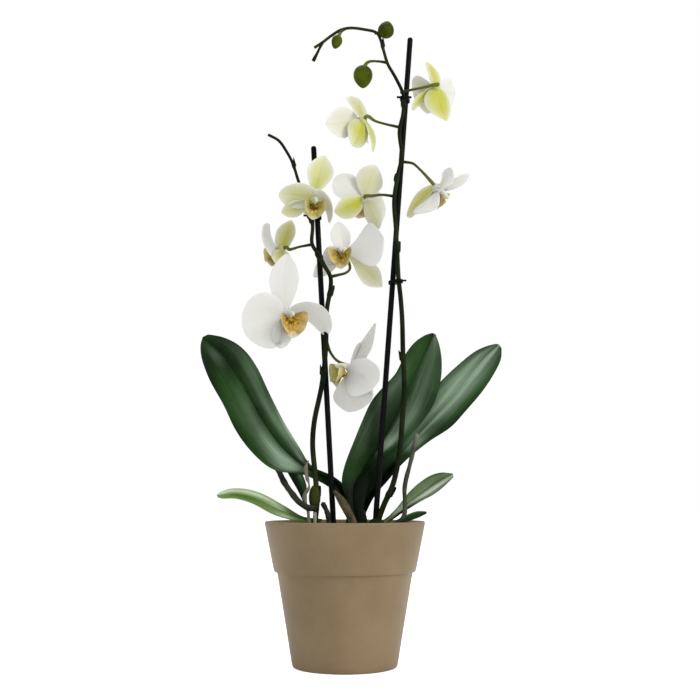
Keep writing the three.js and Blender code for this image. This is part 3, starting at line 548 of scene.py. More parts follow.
def softenCopy(node, name, width, material, slotName):
    # a copy of a solid, its edges rounded
    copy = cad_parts[node].copy()
    copy.data = copy.data.copy()
    copy.parent = None
    for key in list(copy.keys()):
        del copy[key]
    scene.collection.objects.link(copy)
    copy.name = name
    pick(copy)
    bpy.ops.object.mode_set(mode="EDIT")
    bpy.ops.mesh.select_all(action="SELECT")
    bpy.ops.mesh.remove_doubles(threshold=0.00001)
    bpy.ops.mesh.dissolve_limited(angle_limit=radians(2))
    bpy.ops.object.mode_set(mode="OBJECT")
    edges = copy.modifiers.new("edges", "BEVEL")
    edges.width, edges.segments, edges.limit_method = width * mm, 2, "ANGLE"
    applyModifiers(copy)
    settle(copy, material, slotName, node)
    bpy.ops.object.shade_smooth_by_angle(angle=radians(40))
    return copy


for side in ("left", "right"):
    makeStake(side)
for node in ("clip_left", "clip_right_low", "clip_right_high"):
    softenCopy(node, node.replace("_", "") + "Piece", 0.25, stakeSkin, "stake")
print("stakes and clips done")

# blooms: where each one is and how its tepals stand; l ones grow on the left spike, r ones on the right
tepalForms = {
    "dorsal": dict(angle=90, length=0.5, width=0.34, lean=-4, curl=-6, cup=0.3, layer=-1.2),
    "sepalLeft": dict(angle=232, length=0.47, width=0.31, lean=-6, curl=-6, cup=0.25, layer=-1.2),
    "sepalRight": dict(angle=308, length=0.47, width=0.31, lean=-6, curl=-6, cup=0.25, layer=-1.2),
    "petalLeft": dict(angle=168, length=0.5, width=0.54, lean=2, curl=-10, cup=0.1, layer=1.2),
    "petalRight": dict(angle=12, length=0.5, width=0.54, lean=2, curl=-10, cup=0.1, layer=1.2),
}


def tepal(angle, length, width, lean, curl, cup, shape, sweep=0, turn=0, twist=0, **more):
    # shape is the width at the foot, where it is widest and how full; sweep bends it sideways
    return dict(angle=angle, length=length, width=width, lean=lean, curl=curl, cup=cup, shape=shape,
                sweep=sweep, turn=turn, twist=twist, **more)


bloomPlan = {
    "l1": dict(
        stalk=[(-15.6, -17, 298), (-24, -20, 303), (-36, -30, 300)],
        centre=(-48, -50, 290.4), size=84, yaw=28, pitch=-13, roll=7, blush=0.04,
        dorsal=tepal(100, 0.59, 0.28, -2, 6, 0.11, (0.06, 0.56, 0.73), -21, -11, -9),
        petalLeft=tepal(195, 0.46, 0.5, -9, -7, 0.17, (0.39, 0.55, 0.49), -6, 3, -6),
        petalRight=tepal(27, 0.56, 0.32, -2, -9, 0.16, (0.14, 0.57, 0.42), -104, 51, 10, layer=-3.6),
        sepalLeft=tepal(244, 0.35, 0.19, 12, -8, 0.23, (0.05, 0.6, 0.59), 19, -4, 28),
        sepalRight=dict(angle=288, length=0.3, lean=-30)),
    "l2": dict(
        stalk=[(-28.4, -15, 378), (-27, -18, 386), (-27, -22, 391.5)],
        centre=(-27.3, -36, 391.6), size=66, yaw=14, pitch=-22, roll=-4, blush=0.8,
        dorsal=tepal(82, 0.62, 0.34, -17, -3, 0.2, (0.05, 0.62, 0.85), -7, 4, -5),
        petalLeft=tepal(165, 0.45, 0.31, -8, 0, 0.2, (0.5, 0.52, 0.48), 27, -20, 4, blush=0.6),
        petalRight=tepal(32, 0.47, 0.38, -42, 32, -0.1, (0.9, 0.51, 0.42), -150, 51, 40, layer=-2.1),
        sepalLeft=tepal(216, 0.44, 0.22, -5, -3, 0.32, (0.06, 0.6, 0.67), -9, -13, 9),
        sepalRight=dict(angle=270, length=0.28, lean=-35)),
    "l3": dict(
        stalk=[(-12.7, -17, 328.8), (-5.8, -14, 331), (0.8, -9, 334), (4.3, 0, 341)],
        centre=(-1.9, -4, 354.6), size=72, yaw=-10, pitch=-8, roll=-1, blush=0.05,
        dorsal=tepal(98, 0.39, 0.23, -12, -5, 0.25, (0.46, 0.55, 0.62), 9, 26, 11),
        petalLeft=tepal(219, 0.26, 0.27, 17, -24, 0.03, (0.46, 0.52, 0.42), -24, -32, 2, layer=-2.6),
        petalRight=tepal(359, 0.54, 0.52, 5, 6, 0.1, (0.05, 0.68, 0.8), 31, -13, 5),
        sepalLeft=dict(angle=218, length=0.5, width=0.2),
        sepalRight=tepal(321, 0.65, 0.27, -8, -19, 0.27, (0.05, 0.67, 0.93), -10, -14, 40,
                         layer=-3.9, blush=0.5)),
    "l4": dict(
        stalk=[(-29, -16, 357.5), (-40, -8, 357.4), (-49.6, 0, 357)],
        centre=(-57, 6, 358.8), size=60, yaw=-130, pitch=-4, roll=11, blush=0.85,
        dorsal=tepal(89, 0.44, 0.26, -13, -27, 0.11, (0.64, 0.57, 0.69), -17, -26, 4),
        petalLeft=dict(lean=55),
        petalRight=tepal(345, 0.51, 0.43, -10, -9, -0.1, (0.06, 0.54, 0.71), 76, 15, -16,
                         layer=4, blush=0.05),
        sepalLeft=tepal(208, 0.36, 0.37, 22, 2, 0.43, (1, 0.61, 0.74), -67, -16, -4),
        sepalRight=dict(angle=280, length=0.36)),
    "l5": dict(
        stalk=[(-15.8, -17, 272), (-12, -18, 262), (-6, -19, 255)],
        centre=(4.6, -18, 249.5), size=76, yaw=-66, pitch=0, roll=-10, blush=0.04,
        dorsal=tepal(80, 0.58, 0.4, -35, 18, 0.06, (0.05, 0.53, 0.62), 19, 3, -17),
        petalLeft=dict(angle=178, length=0.36, lean=-55),
        petalRight=tepal(331, 0.44, 0.43, -12, -36, 0.26, (0.34, 0.65, 0.43), 26, -7, -7, layer=2.4),
        sepalLeft=tepal(287, 0.5, 0.46, -2, 4, -0.07, (0.05, 0.61, 0.66), -36, -52, 13, layer=-1.7),
        sepalRight=dict(angle=300, length=0.4, width=0.3, lean=-26)),
    "r1": dict(
        stalk=[(48.4, -16, 463.4), (36.5, -18, 465.4), (27, -20, 467.5)],
        centre=(15.2, -28, 465.4), size=63, yaw=-143, pitch=-16, roll=-8, blush=0.8,
        dorsal=tepal(104, 0.55, 0.39, 21, -5, 0.15, (0.86, 0.68, 0.77), 23, 19, -11),
        petalLeft=dict(angle=150, lean=60, blush=0.08),
        petalRight=tepal(359, 0.54, 0.42, 22, -10, -0.1, (0.05, 0.55, 0.77), 4, -28, 9, blush=0.3),
        sepalLeft=tepal(228, 0.47, 0.14, 6, 10, -0.07, (0.19, 0.58, 0.66), 66, 5, -18),
        sepalRight=tepal(295, 0.44, 0.32, 16, 3, 0.26, (0.44, 0.49, 0.6), 14, -4, -14, blush=1.05)),
    "r2": dict(
        stalk=[(49.4, -16.5, 495.4), (58.3, -13, 499), (69.9, -9, 503)],
        centre=(81, -2, 506.5), size=64, yaw=198, pitch=0, roll=-1, blush=1.0,
        dorsal=tepal(104, 0.6, 0.24, 22, 21, -0.02, (0.54, 0.64, 0.56), -20, 10, 19, layer=0.9),
        petalLeft=tepal(184, 0.48, 0.41, 32, -6, -0.01, (0.11, 0.66, 0.59), -27, 7, -1, blush=0.1),
        petalRight=dict(angle=338, length=0.36, lean=60, blush=0.3),
        sepalLeft=tepal(260, 0.52, 0.42, 5, -13, 0.22, (0.23, 0.46, 0.7), -11, -6, -15, blush=1.15),
        sepalRight=tepal(330, 0.5, 0.13, 22, -32, 0.29, (0.07, 0.61, 0.61), -34, -43, 23)),
    "r3": dict(
        stalk=[(48.6, -16, 432), (54, -17.5, 431), (59.5, -17, 430), (66, -15, 425)],
        centre=(81.5, -4, 411.8), size=66, yaw=112, pitch=-42, roll=55, blush=0.1,
        dorsal=tepal(72, 0.47, 0.24, 29, -15, 0.23, (0.85, 0.39, 0.42), -17, -20, -31),
        petalLeft=tepal(219, 0.5, 0.48, 8, -13, 0.17, (0.21, 0.62, 0.82), -4, -15),
        petalRight=tepal(73, 0.33, 0.61, -17, 0, 0.1, (0.75, 0.56, 0.7), -41, 0, 7),
        sepalLeft=tepal(290, 0.61, 0.41, -1, 9, -0.03, (0.19, 0.59, 0.62), -41, -14, -11, blush=1.1),
        sepalRight=dict(angle=318, length=0.3, width=0.26, lean=40)),
    "r4": dict(
        stalk=[(43, -16, 400.7), (32.3, -15, 402.3), (23.6, -13, 402)],
        centre=(16.7, -4, 401.7), size=63, yaw=190, pitch=-6, roll=15, blush=0.5,
        dorsal=tepal(89, 0.5, 0.39, -12, -1, 0.22, (0.11, 0.58, 0.68), 8, 4, 18),
        petalLeft=dict(lean=45),
        petalRight=tepal(23, 0.51, 0.43, -4, 4, 0.06, (0.06, 0.63, 0.57), -2, 11, blush=0.05),
        sepalLeft=tepal(222, 0.5, 0.26, -8, 9, 0.14, (0.06, 0.54, 0.65), 21, 31, 17, blush=0.5),
        sepalRight=tepal(311, 0.48, 0.32, -13, 27, 0.3, (0.34, 0.56, 0.68), 13, -28, -22, blush=1.0)),
}
bloomShape = {"hub": 4.2, "foot": 1.6, "thickness": 0.8, "sepal": (0.22, 0.55, 0.75),
              "petal": (0.12, 0.58, 0.62), "ripple": 0.5, "crease": 0.35, "creaseWidth": 0.1,
              "column": ((0, 1, 7), (2.4, 2.7, 7.4))}


def widthAt(u, foot, widest, fullness):
    rise = math.log(0.5) / math.log(widest)
    return 0.04 + foot * (1 - u) ** 2 + max(sin(pi * u**rise), 0) ** fullness


def bloomPlace(plan):
    turn, tilt = radians(plan["yaw"]), radians(plan["pitch"])
    facing = Vector((sin(turn) * cos(tilt), -cos(turn) * cos(tilt), sin(tilt)))
    right = Quaternion(facing, radians(plan["roll"])) @ Vector((cos(turn), sin(turn), 0))
    up = facing.cross(right)
    axes = Matrix((right, up, facing)).transposed().to_4x4()
    return Matrix.Translation(Vector(plan["centre"])) @ axes


def tepalSurface(form, shape, size, place, ripple, start):
    shape = form.get("shape", shape)
    half = form["width"] * size / 2
    reachFull = form["length"] * size

    def placeAt(u, v):
        swept = radians(form["angle"] + form.get("sweep", 0) * u / 2)
        along = Vector((cos(swept), sin(swept), 0))
        side = Vector((-along.y, along.x, 0))
        front = Vector((0, 0, 1))
        reach = bloomShape["foot"] + u * (reachFull - bloomShape["foot"])
        bend = radians(form["lean"] + form["curl"] * u / 2)
        spread = v * half * widthAt(u, *shape)
        rise = form["cup"] * spread * spread / half
        wave = ripple * abs(v) ** 3 * sin(9 * u + start + 2.5 * v) * min(1, 4 * u)
        crease = -bloomShape["crease"] * exp(-((v / bloomShape["creaseWidth"]) ** 2)) * min(1, 4 * u)
        roll = radians(form.get("turn", 0) + form.get("twist", 0) * u)
        across = side * cos(roll) + front * sin(roll)
        height = form["layer"] + reach * sin(bend) + rise + wave + crease
        return place @ (along * (reach * cos(bend)) + front * height + across * spread)

    return placeAt


def makeBall(name, centre, radii, place, blush=0.0):
    clearSelection()
    bpy.ops.mesh.primitive_uv_sphere_add(segments=20, ring_count=14, radius=1)
    ball = bpy.context.object
    ball.name = name
    for vert in ball.data.vertices:
        vert.co = (place @ Vector([vert.co[k] * radii[k] + centre[k] for k in range(3)])) * mm
    paintAll(ball, blush=blush)
    return ball


def makeBloom(name, plan):
    place, size = bloomPlace(plan), plan["size"]
    rng = random.Random(name)
    parts = []
    for label, base in tepalForms.items():
        form = {**base, **plan.get(label, {})}
        petal = label.startswith("petal")
        shape = bloomShape["petal"] if petal else bloomShape["sepal"]
        tint = form.get("blush", plan["blush"] * (0.4 if petal else 1))

        def blushAt(u, v, tint=tint):
            return tint * (1 - 0.78 * abs(v) ** 2.1) * (1 - 0.5 * u**3)

        ripple = bloomShape["ripple"] * (1.3 if petal else 0.7)
        surface = tepalSurface(form, shape, size, place, ripple, rng.uniform(0, 6))
        parts.append(makeBlade(name + label, surface, 22, 16 if petal else 12, bloomShape["thickness"],
                               {"blush": blushAt}))
    hub = bloomShape["hub"]
    parts.append(makeBall("hub", (0, 0, 0), (hub, hub, hub), place, plan["blush"] * 0.8))
    parts.append(makeBall("column", *bloomShape["column"], place, 0.15 + 0.4 * plan["blush"]))
    return settle(joinAll(parts, "bloom" + name.upper()), petalSkin, "petal", "bloom_" + name)


# the lip: two raised side lobes and a trowel-shaped tongue below the column
lipPlan = {
    "lobes": [
        *[dict(angle=a, length=0.19, width=0.2, lean=24, curl=40, cup=0.45, layer=5, shape=(0.3, 0.62, 0.5))
          for a in (200, 340)],
        dict(angle=270, length=0.21, width=0.2, lean=40, curl=-30, cup=0.3, layer=5, shape=(0.3, 0.5, 0.8)),
    ],
    "ripple": 0.5, "thickness": 1.0, "drop": 3,
    "foot": ((0, -5.5, 6.5), (4.6, 3.2, 3)), "crest": ((0, -5.2, 9.2), (2.3, 1.6, 1.9)),
    "olive": {"l1": 0.0, "l2": 0.6, "l3": 0.35, "l4": 0.2, "l5": 0.7},  # how green each one is
    "heart": {"l1": 0.9, "l2": 1.8, "l3": 1.35, "l4": 0.7, "l5": 1.5},  # how brown its middle is
}


def makeLip(name, plan):
    place, size = bloomPlace(plan), plan["size"]
    lowered = place @ Matrix.Translation((0, -lipPlan["drop"], 0))
    parts = []
    for k, form in enumerate(lipPlan["lobes"]):
        tongue = k == 2
        values = {"blush": (lambda u, v: max(0, u - 0.6) * 2.5 + 0.2 * abs(v)) if tongue
                  else (lambda u, v: 0.5 * max(0, u - 0.3) + 0.2 * abs(v)),
                  "freckle": lambda u, v: max(0, 1 - 1.1 * u) * (1 - 0.4 * abs(v))}
        surface = tepalSurface(form, form["shape"], size, lowered, lipPlan["ripple"], 2 * k)
        parts.append(makeBlade("lobe", surface, 14, 12, lipPlan["thickness"], values))
    foot, crest = [makeBall(part, *lipPlan[part], place) for part in ("foot", "crest")]
    heart = lipPlan["heart"].get(name, 0.8)
    paintAll(foot, freckle=0.7 * heart)
    paintAll(crest, freckle=heart)
    whole = joinAll(parts + [foot, crest], "lip" + name.upper())
    paintAll(whole, olive=lipPlan["olive"].get(name, 0.3))
    return settle(whole, lipSkin, "lip", "lip_" + name)


for name, plan in bloomPlan.items():
    makeBloom(name, plan)
    makeLip(name, plan)
print("blooms done")

# flower spikes
spikePlan = {
    "left": {
        "points": [
            (-22, -12, 92), (-24.7, -12, 120), (-23.5, -12, 138), (-24.9, -13, 157), (-27.4, -13, 184),
            (-26.1, -14, 203.5), (-19.7, -16, 235), (-16.4, -17, 266), (-15.6, -17, 300), (-12.6, -17, 318),
            (-12.6, -17, 328.6), (-17.7, -17, 338.3), (-22.7, -16.5, 348), (-28.6, -16, 358),
            (-28.4, -15, 376), (-34.2, -14, 398), (-40.6, -14, 414), (-46.4, -13, 432), (-52.6, -12, 444),
            (-58.9, -11, 453), (-68.1, -10, 458.7)],
        "joints": [0.13, 0.4, 0.58, 0.67, 0.76, 0.9],
        "youngAt": lambda u: 0.3 * max(0, 1 - u / 0.22), "knob": ((-25.5, -12.5, 140), (5, 4.2, 10.5), 0.13),
    },
    "right": {
        "points": [
            (22, -12, 92), (29.3, -12, 124), (33.2, -13, 134.5), (40, -15, 149.5), (43.9, -16, 164.6),
            (46.9, -17, 184), (48.5, -17, 203), (50.5, -17, 232), (49.6, -17, 262), (49.1, -17, 292),
            (47.8, -16, 312), (46.2, -16, 328), (45.2, -16, 352), (44.2, -16, 372), (42.8, -16, 397),
            (46.4, -16, 421), (49.7, -16, 437), (47.8, -16, 460), (50.9, -16, 475), (51.8, -16, 492),
            (44.9, -18, 508), (37.8, -19, 520.7), (34.7, -20, 530.6), (31.8, -21, 541.3), (28, -22, 548.4),
            (16.5, -22, 551.7), (4.3, -22, 553), (-4, -21, 551.6), (-12.2, -20, 546.8), (-20.3, -19, 540.8),
            (-27.5, -18, 536.3)],
        "joints": [0.1, 0.32, 0.5, 0.62, 0.75, 0.86],
        "youngAt": lambda u: 0.12 * max(0, u - 0.8) / 0.2, "knob": ((26.5, -12, 117), (7, 4, 6), 0),
    },
    "radii": [2.6, 2.4, 2.2, 2, 1.8, 1.6, 1.3], "stalkRadius": 1.2,
    "budStalks": [[(37, -19, 522), (29.2, -18.5, 523.4), (20.5, -19, 522.6), (16, -19, 517)],
                  [(0.5, -22, 552.6), (-3.7, -22.5, 549), (-5.8, -23, 545)],
                  [(26, -22, 548), (33.5, -22.5, 549.6)],
                  [(-20.3, -19, 540.6), (-24.3, -19, 532), (-28.4, -18, 524)]],
}


def paintAlong(tube, points, attribute, valueAt):
    # a value that changes along a tube, read at the nearest of a few places on its route
    route, steps = routeThrough(points), 40
    stops = [route(k / steps) * mm for k in range(steps + 1)]
    nearest = [min(range(steps + 1), key=lambda k: (stops[k] - vert.co).length_squared)
               for vert in tube.data.vertices]
    paint(tube, attribute, [valueAt(k / steps) for k in nearest])


def makeBract(route, u, radius, turn):
    # a small dry scale that clasps the stem at a joint
    foot = route(u)
    ahead = (route(min(u + 0.01, 1)) - foot).normalized()
    side = ahead.orthogonal().normalized()
    other = ahead.cross(side)

    def placeAt(s, v):
        angle = turn + v * 1.7 * (1 - s) ** 0.5
        off = radius + 0.45 + 0.7 * s
        return foot + ahead * (s * 9 - 1) + (side * cos(angle) + other * sin(angle)) * off

    return makeBlade("bract", placeAt, 8, 10, 0.35)


def makeSpike(side):
    plan = spikePlan[side]
    route = routeThrough(plan["points"])
    breaks = [0, *plan["joints"], 1]

    def radiusAt(u):
        radii = spikePlan["radii"]
        k = max(i for i in range(7) if breaks[i] <= u + 1e-9)
        radius, ahead = radii[k], radii[min(k + 1, 6)]
        share = (u - breaks[k]) / (breaks[k + 1] - breaks[k])
        swell = sum(0.5 * exp(-(((u - j) * route.length / 2.2) ** 2)) for j in plan["joints"])
        return radius + (ahead - radius) * share * 0.9 + swell

    parts = [makeTube("stem", plan["points"], radiusAt, 1.5, 16)]
    paintAlong(parts[0], plan["points"], "young", plan["youngAt"])
    for k, joint in enumerate(plan["joints"]):
        parts.append(makeBract(route, joint, radiusAt(joint), 2.4 * k))
    behind = (bloomShape["hub"] + 2.5, 3.4)  # a stalk meets its bloom from behind
    stalks = [p["stalk"] + [tuple(bloomPlace(p) @ Vector((0, 0, -d))) for d in behind]
              for name, p in bloomPlan.items() if name[0] == side[0]]
    if side == "right":
        stalks += spikePlan["budStalks"]

    def stalkRadiusAt(u):
        return spikePlan["stalkRadius"] * (1.25 - 0.35 * sin(pi * min(u * 1.2, 1)) + 0.15 * u)

    for stalk in stalks:
        fork = stalk is spikePlan["budStalks"][-1]
        tube = makeTube("stalk", stalk, stalkRadiusAt, 1.0, 12)
        paintAlong(tube, stalk, "young", lambda u: 0 if fork else 0.05 + 0.75 * u**1.5)
        parts.append(tube)
    centre, radii, young = plan["knob"]
    parts.append(makeBall("knob", centre, radii, Matrix()))
    paintAll(parts[-1], young=young)
    whole = joinAll(parts, "spike" + side.capitalize())
    return settle(whole, stemSkin, "stem", "spike_" + side)


for side in ("left", "right"):
    makeSpike(side)
print("spikes done")

# buds
budPlan = {
    "1": dict(centre=(36.4, -23, 551.2), tip=(0.2, 0.1, 1), length=16, width=14.4),
    "2": dict(centre=(15.8, -19, 508.8), tip=(0.02, 0, -1), length=21, width=17),
    "3": dict(centre=(-7.6, -23, 539.4), tip=(-0.3, 0, -1), length=13, width=9.6),
}


def makeBud(number, plan):
    clearSelection()
    bpy.ops.mesh.primitive_uv_sphere_add(segments=48, ring_count=32, radius=1)
    bud = bpy.context.object
    turn = Vector((0, 0, 1)).rotation_difference(Vector(plan["tip"]).normalized())
    for vert in bud.data.vertices:
        share = 0.5 + math.asin(max(-1, min(1, vert.co.z))) / pi
        around = math.atan2(vert.co.y, vert.co.x)
        swell = max(sin(pi * share**0.8), 0) ** 0.62
        seam = 1 - 0.05 * exp(-((sin(1.5 * around) / 0.12) ** 2)) * sin(pi * share)
        radius = plan["width"] / 2 * swell * seam
        spot = Vector((radius * cos(around), radius * sin(around), plan["length"] * (share - 0.5)))
        vert.co = (turn @ spot + Vector(plan["centre"])) * mm
    bud.name = "bud" + number
    return settle(bud, budSkin, "bud", "bud_" + number)


for number, plan in budPlan.items():
    makeBud(number, plan)
print("buds done")

# leaves: two edges and the midrib, foot to tip
leafPlan = {
    "leaf_centre": {
        "left": [
            (7, -10, 102), (6, -11, 118), (4, -10, 130), (0, -8, 141), (-3, -6, 152), (-1, -4, 165),
            (8, -3, 189), (15, -2, 206), (23, -1, 223), (33, 1, 235), (44, 3, 247), (52, 5, 263),
            (61, 7, 275), (71, 9, 282), (77, 11, 284)],
        "rib": [
            (10, -8, 102), (9, -8, 120), (7, -6, 138), (9, -2, 152), (19, 4, 167), (33, 7, 189),
            (49, 9, 218), (61, 11, 246), (70, 13, 265), (79, 14, 284)],
        "right": [
            (14, -9, 102), (14, -9, 118), (16, -7, 132), (20, -4, 150), (26, 0, 168), (41, 2, 181),
            (58, 4, 195), (71, 6, 210), (79, 7, 224), (84, 8, 242), (85, 9, 260), (83, 10, 274),
            (80, 12, 283)],
    },
    "leaf_big_right": {
        "left": [
            (7, 1, 102), (6, 2, 120), (7, 3, 138), (13, 5, 155), (24, 8, 169), (39, 12, 182), (55, 15, 200),
            (70, 17, 223), (84, 18, 241), (102, 19, 258), (116, 20, 269), (127, 21, 274), (135, 23, 276)],
        "rib": [
            (11, 4, 102), (11, 6, 118), (16, 8, 133), (29, 12, 151), (46, 16, 174), (68, 20, 199),
            (91, 22, 224), (111, 24, 248), (124, 25, 263), (138, 26, 276)],
        "right": [
            (15, 3, 102), (15, 4, 118), (20, 5, 131), (26, 7, 142), (36, 9, 153), (50, 11, 169),
            (73, 14, 188), (93, 16, 201), (107, 18, 216), (121, 20, 232), (132, 21, 248), (139, 22, 262),
            (140, 24, 272)],
    },
    "leaf_big_left": {
        "left": [
            (8, -5, 102), (6, -6, 118), (0, -7, 131), (-8, -7, 144), (-19, -6, 152), (-28, -5, 156),
            (-36, -5, 159.5), (-45, -6, 160.5), (-56, -7, 161.5), (-66, -9, 166), (-82, -11, 181),
            (-94, -13, 198), (-103, -15, 217), (-116, -16, 240), (-123, -16, 259), (-124, -15, 270),
            (-123, -13, 275)],
        "rib": [
            (10, -3, 102), (8, -3, 124), (1, -3, 139), (-9, -2, 152), (-20, -1, 158), (-29, -1, 163),
            (-40, -2, 170), (-55, -4, 184), (-72, -7, 208), (-89, -9, 238), (-103, -10, 260),
            (-123, -11, 277)],
        "right": [
            (11, -4, 102), (10, -4, 126), (7, -5, 138), (2, -6, 148), (-7, -6, 156), (-16, -5, 161),
            (-25, -5, 164), (-31, -6, 169), (-38, -7, 181), (-51, -10, 202), (-64, -13, 227),
            (-75, -15, 250), (-85, -16, 264), (-95, -16, 272), (-107, -15, 277), (-118, -13, 279)],
    },
    "leaf_low_left": {
        "left": [
            (-23, -6, 115), (-40, -14, 120), (-58, -21, 125), (-77, -27, 135), (-91, -30, 139),
            (-101, -31, 139), (-105, -31, 140)],
        "rib": [
            (-21, -3, 118), (-40, -10, 123), (-58, -18, 131), (-77, -25, 140), (-91, -28, 143),
            (-106, -30, 142)],
        "right": [
            (-19, -5, 122), (-35, -9, 124), (-51, -15, 133), (-69, -21, 143), (-83, -26, 147),
            (-96, -29, 147), (-104, -30, 144)],
    },
    "leaf_small_right": {
        "left": [
            (20, -2, 116), (33, -4, 121), (43, -6, 130), (54, -8, 144), (64, -9, 153), (74, -10, 159),
            (83, -10, 161), (89, -10, 160)],
        "rib": [(21, 0, 113), (35, -2, 121), (50, -4, 132), (66, -6, 144), (79, -7, 153), (92, -8, 160)],
        "right": [
            (21, -3, 110), (37, -5, 119), (50, -8, 128), (63, -10, 136), (76, -11, 143), (86, -11, 151),
            (92, -10, 157)],
    },
    "leaf_tiny_right": {
        "left": [(25, 5, 112), (39, 8, 118), (51, 12, 124), (62, 15, 128), (70, 17, 128)],
        "rib": [(26, 6, 110), (40, 10, 116), (53, 14, 122), (71, 18, 127)],
        "right": [(27, 5, 107), (41, 8, 114), (54, 12, 119), (65, 15, 123), (71, 17, 126)],
    },
    "leaf_stub_left": {
        "left": [
            (-33, -15, 131), (-36, -14, 138), (-40, -11, 146), (-45, -5, 154), (-50, 2, 162), (-54, 7, 169)],
        "rib": [(-32.5, -14, 137), (-35, -12, 145), (-39, -7, 153), (-44, 1, 162), (-50, 7, 171)],
        "right": [(-32, -14, 143), (-32.5, -11, 150), (-35, -6, 157), (-39, 2, 164), (-46, 8, 172)],
    },
}
leafShape = {"thickness": 1.7, "swell": 0.1, "groove": 0.9}
leafSkins = {"leaf_low_left": (paleSkin, "pale_leaf"), "leaf_small_right": (smallSkin, "leaf")}
# painted light on each leaf: patches of painted sheen where light falls, and painted shade below zero;
# (amount, u, v, reach along, reach across)
paintedLightPlan = {
    "leaf_big_left": [
        (-1.5, 0.1, 0, 0.18, 2), (1.1, 0.4, -0.5, 0.08, 0.5), (0.6, 0.51, -0.4, 0.08, 0.3),
        (0.35, 0.66, -0.42, 0.12, 0.35), (1.0, 0.5, 1.05, 0.11, 0.25), (0.5, 0.6, 0.65, 0.2, 0.3),
        (0.35, 0.82, 0.8, 0.12, 0.3), (0.45, 0.91, -0.38, 0.06, 0.28), (-0.5, 0.58, -1.05, 0.1, 0.2),
        (-0.4, 0.84, -1, 0.12, 0.3), (-0.3, 0.5, 0.18, 0.08, 0.15), (-0.2, 0.92, 0.2, 0.08, 0.2),
        (0.5, 0.4, 0.6, 0.05, 0.3)],
    "leaf_centre": [
        (-1.4, 0.12, 0, 0.14, 2), (-0.7, 0.3, 0.6, 0.07, 0.6), (0.3, 0.48, -0.75, 0.2, 0.4),
        (0.4, 0.72, -0.7, 0.12, 0.3), (0.85, 0.45, 0.42, 0.06, 0.35), (0.6, 0.58, 0.45, 0.12, 0.4),
        (0.42, 0.8, 0.42, 0.14, 0.45), (0.6, 1.0, 0.6, 0.1, 0.6), (-0.3, 0.62, -0.1, 0.3, 0.12)],
    "leaf_big_right": [
        (-1.4, 0.14, 0, 0.17, 2), (-0.6, 0.31, 0.4, 0.06, 1), (1.25, 0.8, 0.2, 0.32, 0.22),
        (0.75, 0.46, 0.35, 0.06, 0.6), (0.85, 0.76, -0.45, 0.3, 0.5), (-0.7, 0.66, 1, 0.14, 0.22),
        (0.5, 0.8, 0.62, 0.25, 0.3)],
    "leaf_small_right": [
        (0.3, 0.6, -0.4, 0.3, 0.4), (1.1, 0.65, 0.5, 0.5, 0.32), (-1.6, 0.38, 1, 0.16, 0.4),
        (1.1, 0.3, -0.3, 0.14, 0.7), (-0.5, 0.9, -0.95, 0.2, 0.2)],
    "leaf_tiny_right": [
        (-0.3, 0.6, 0.7, 0.5, 0.4), (0.6, 0.7, -1, 0.4, 0.4), (0.5, 0.6, 0, 0.35, 0.35)],
    "leaf_stub_left": [
        (-0.9, 0.4, -0.7, 0.6, 0.6), (0.55, 0.6, 0.55, 0.3, 0.4)],
    "leaf_low_left": [
        (0.95, 0.75, 0.65, 0.4, 0.45), (-0.55, 0.75, -0.45, 0.22, 0.3), (0.8, 0.35, -0.75, 0.16, 0.4),
        (0.6, 0.42, 0.2, 0.12, 0.3), (0.5, 0.75, -1.05, 0.3, 0.12), (0.6, 1.0, 0, 0.1, 1)],
}


def leafSurface(plan):
    leftEdge, middle, rightEdge = [routeThrough(plan[k]) for k in ("left", "rib", "right")]

    def placeAt(u, v):
        centre = middle(u)
        ahead = (middle(min(u + 0.01, 1)) - middle(max(u - 0.01, 0))).normalized()
        up = (rightEdge(u) - leftEdge(u)).cross(ahead).normalized()
        reach = (leftEdge(u) if v < 0 else rightEdge(u)) - centre
        w = abs(v) ** 1.2  # denser beside the rib
        bulge = 4 * leafShape["swell"] * reach.length * max(0, w - w * w)
        groove = leafShape["groove"] * exp(-((v / 0.09) ** 2)) * sin(pi * min(1, 0.2 + u * 0.8))
        return centre + reach * w + up * (bulge - groove)

    return placeAt


def makeLeaf(node, plan):
    # the painted light at a point: painted sheen above zero, painted shade below
    def paintedLightAt(u, v):
        patches = [amount * exp(-(((u - x) / dx) ** 2) - ((v - y) / dy) ** 2)
                   for amount, x, y, dx, dy in paintedLightPlan[node]]
        return max(-1, min(1, sum(patches)))

    leaf = makeBlade(plainName(node), leafSurface(plan), 44, 32, leafShape["thickness"], {"sheen": paintedLightAt})
    skin, slotName = leafSkins.get(node, (leafSkin, "leaf"))
    return settle(leaf, skin, slotName, node)


for node, plan in leafPlan.items():
    makeLeaf(node, plan)
print("leaves done")

# stem base, roots and dry remains
crownPlan = {"profile": [(0, 84), (6, 86), (7.2, 95), (8, 104), (8.5, 112), (8.3, 119), (7, 126), (4.5, 132),
                         (2, 135), (0, 136)], "wide": 1.15, "deep": 0.8, "right": 10}


def makeCrown(plan):
    core = spinProfile("crown", plan["profile"], 48)
    for vert in core.data.vertices:
        vert.co = Vector((vert.co.x * plan["wide"] + plan["right"] * mm, vert.co.y * plan["deep"], vert.co.z))
    return settle(core, crownSkin, "crown", "crown")


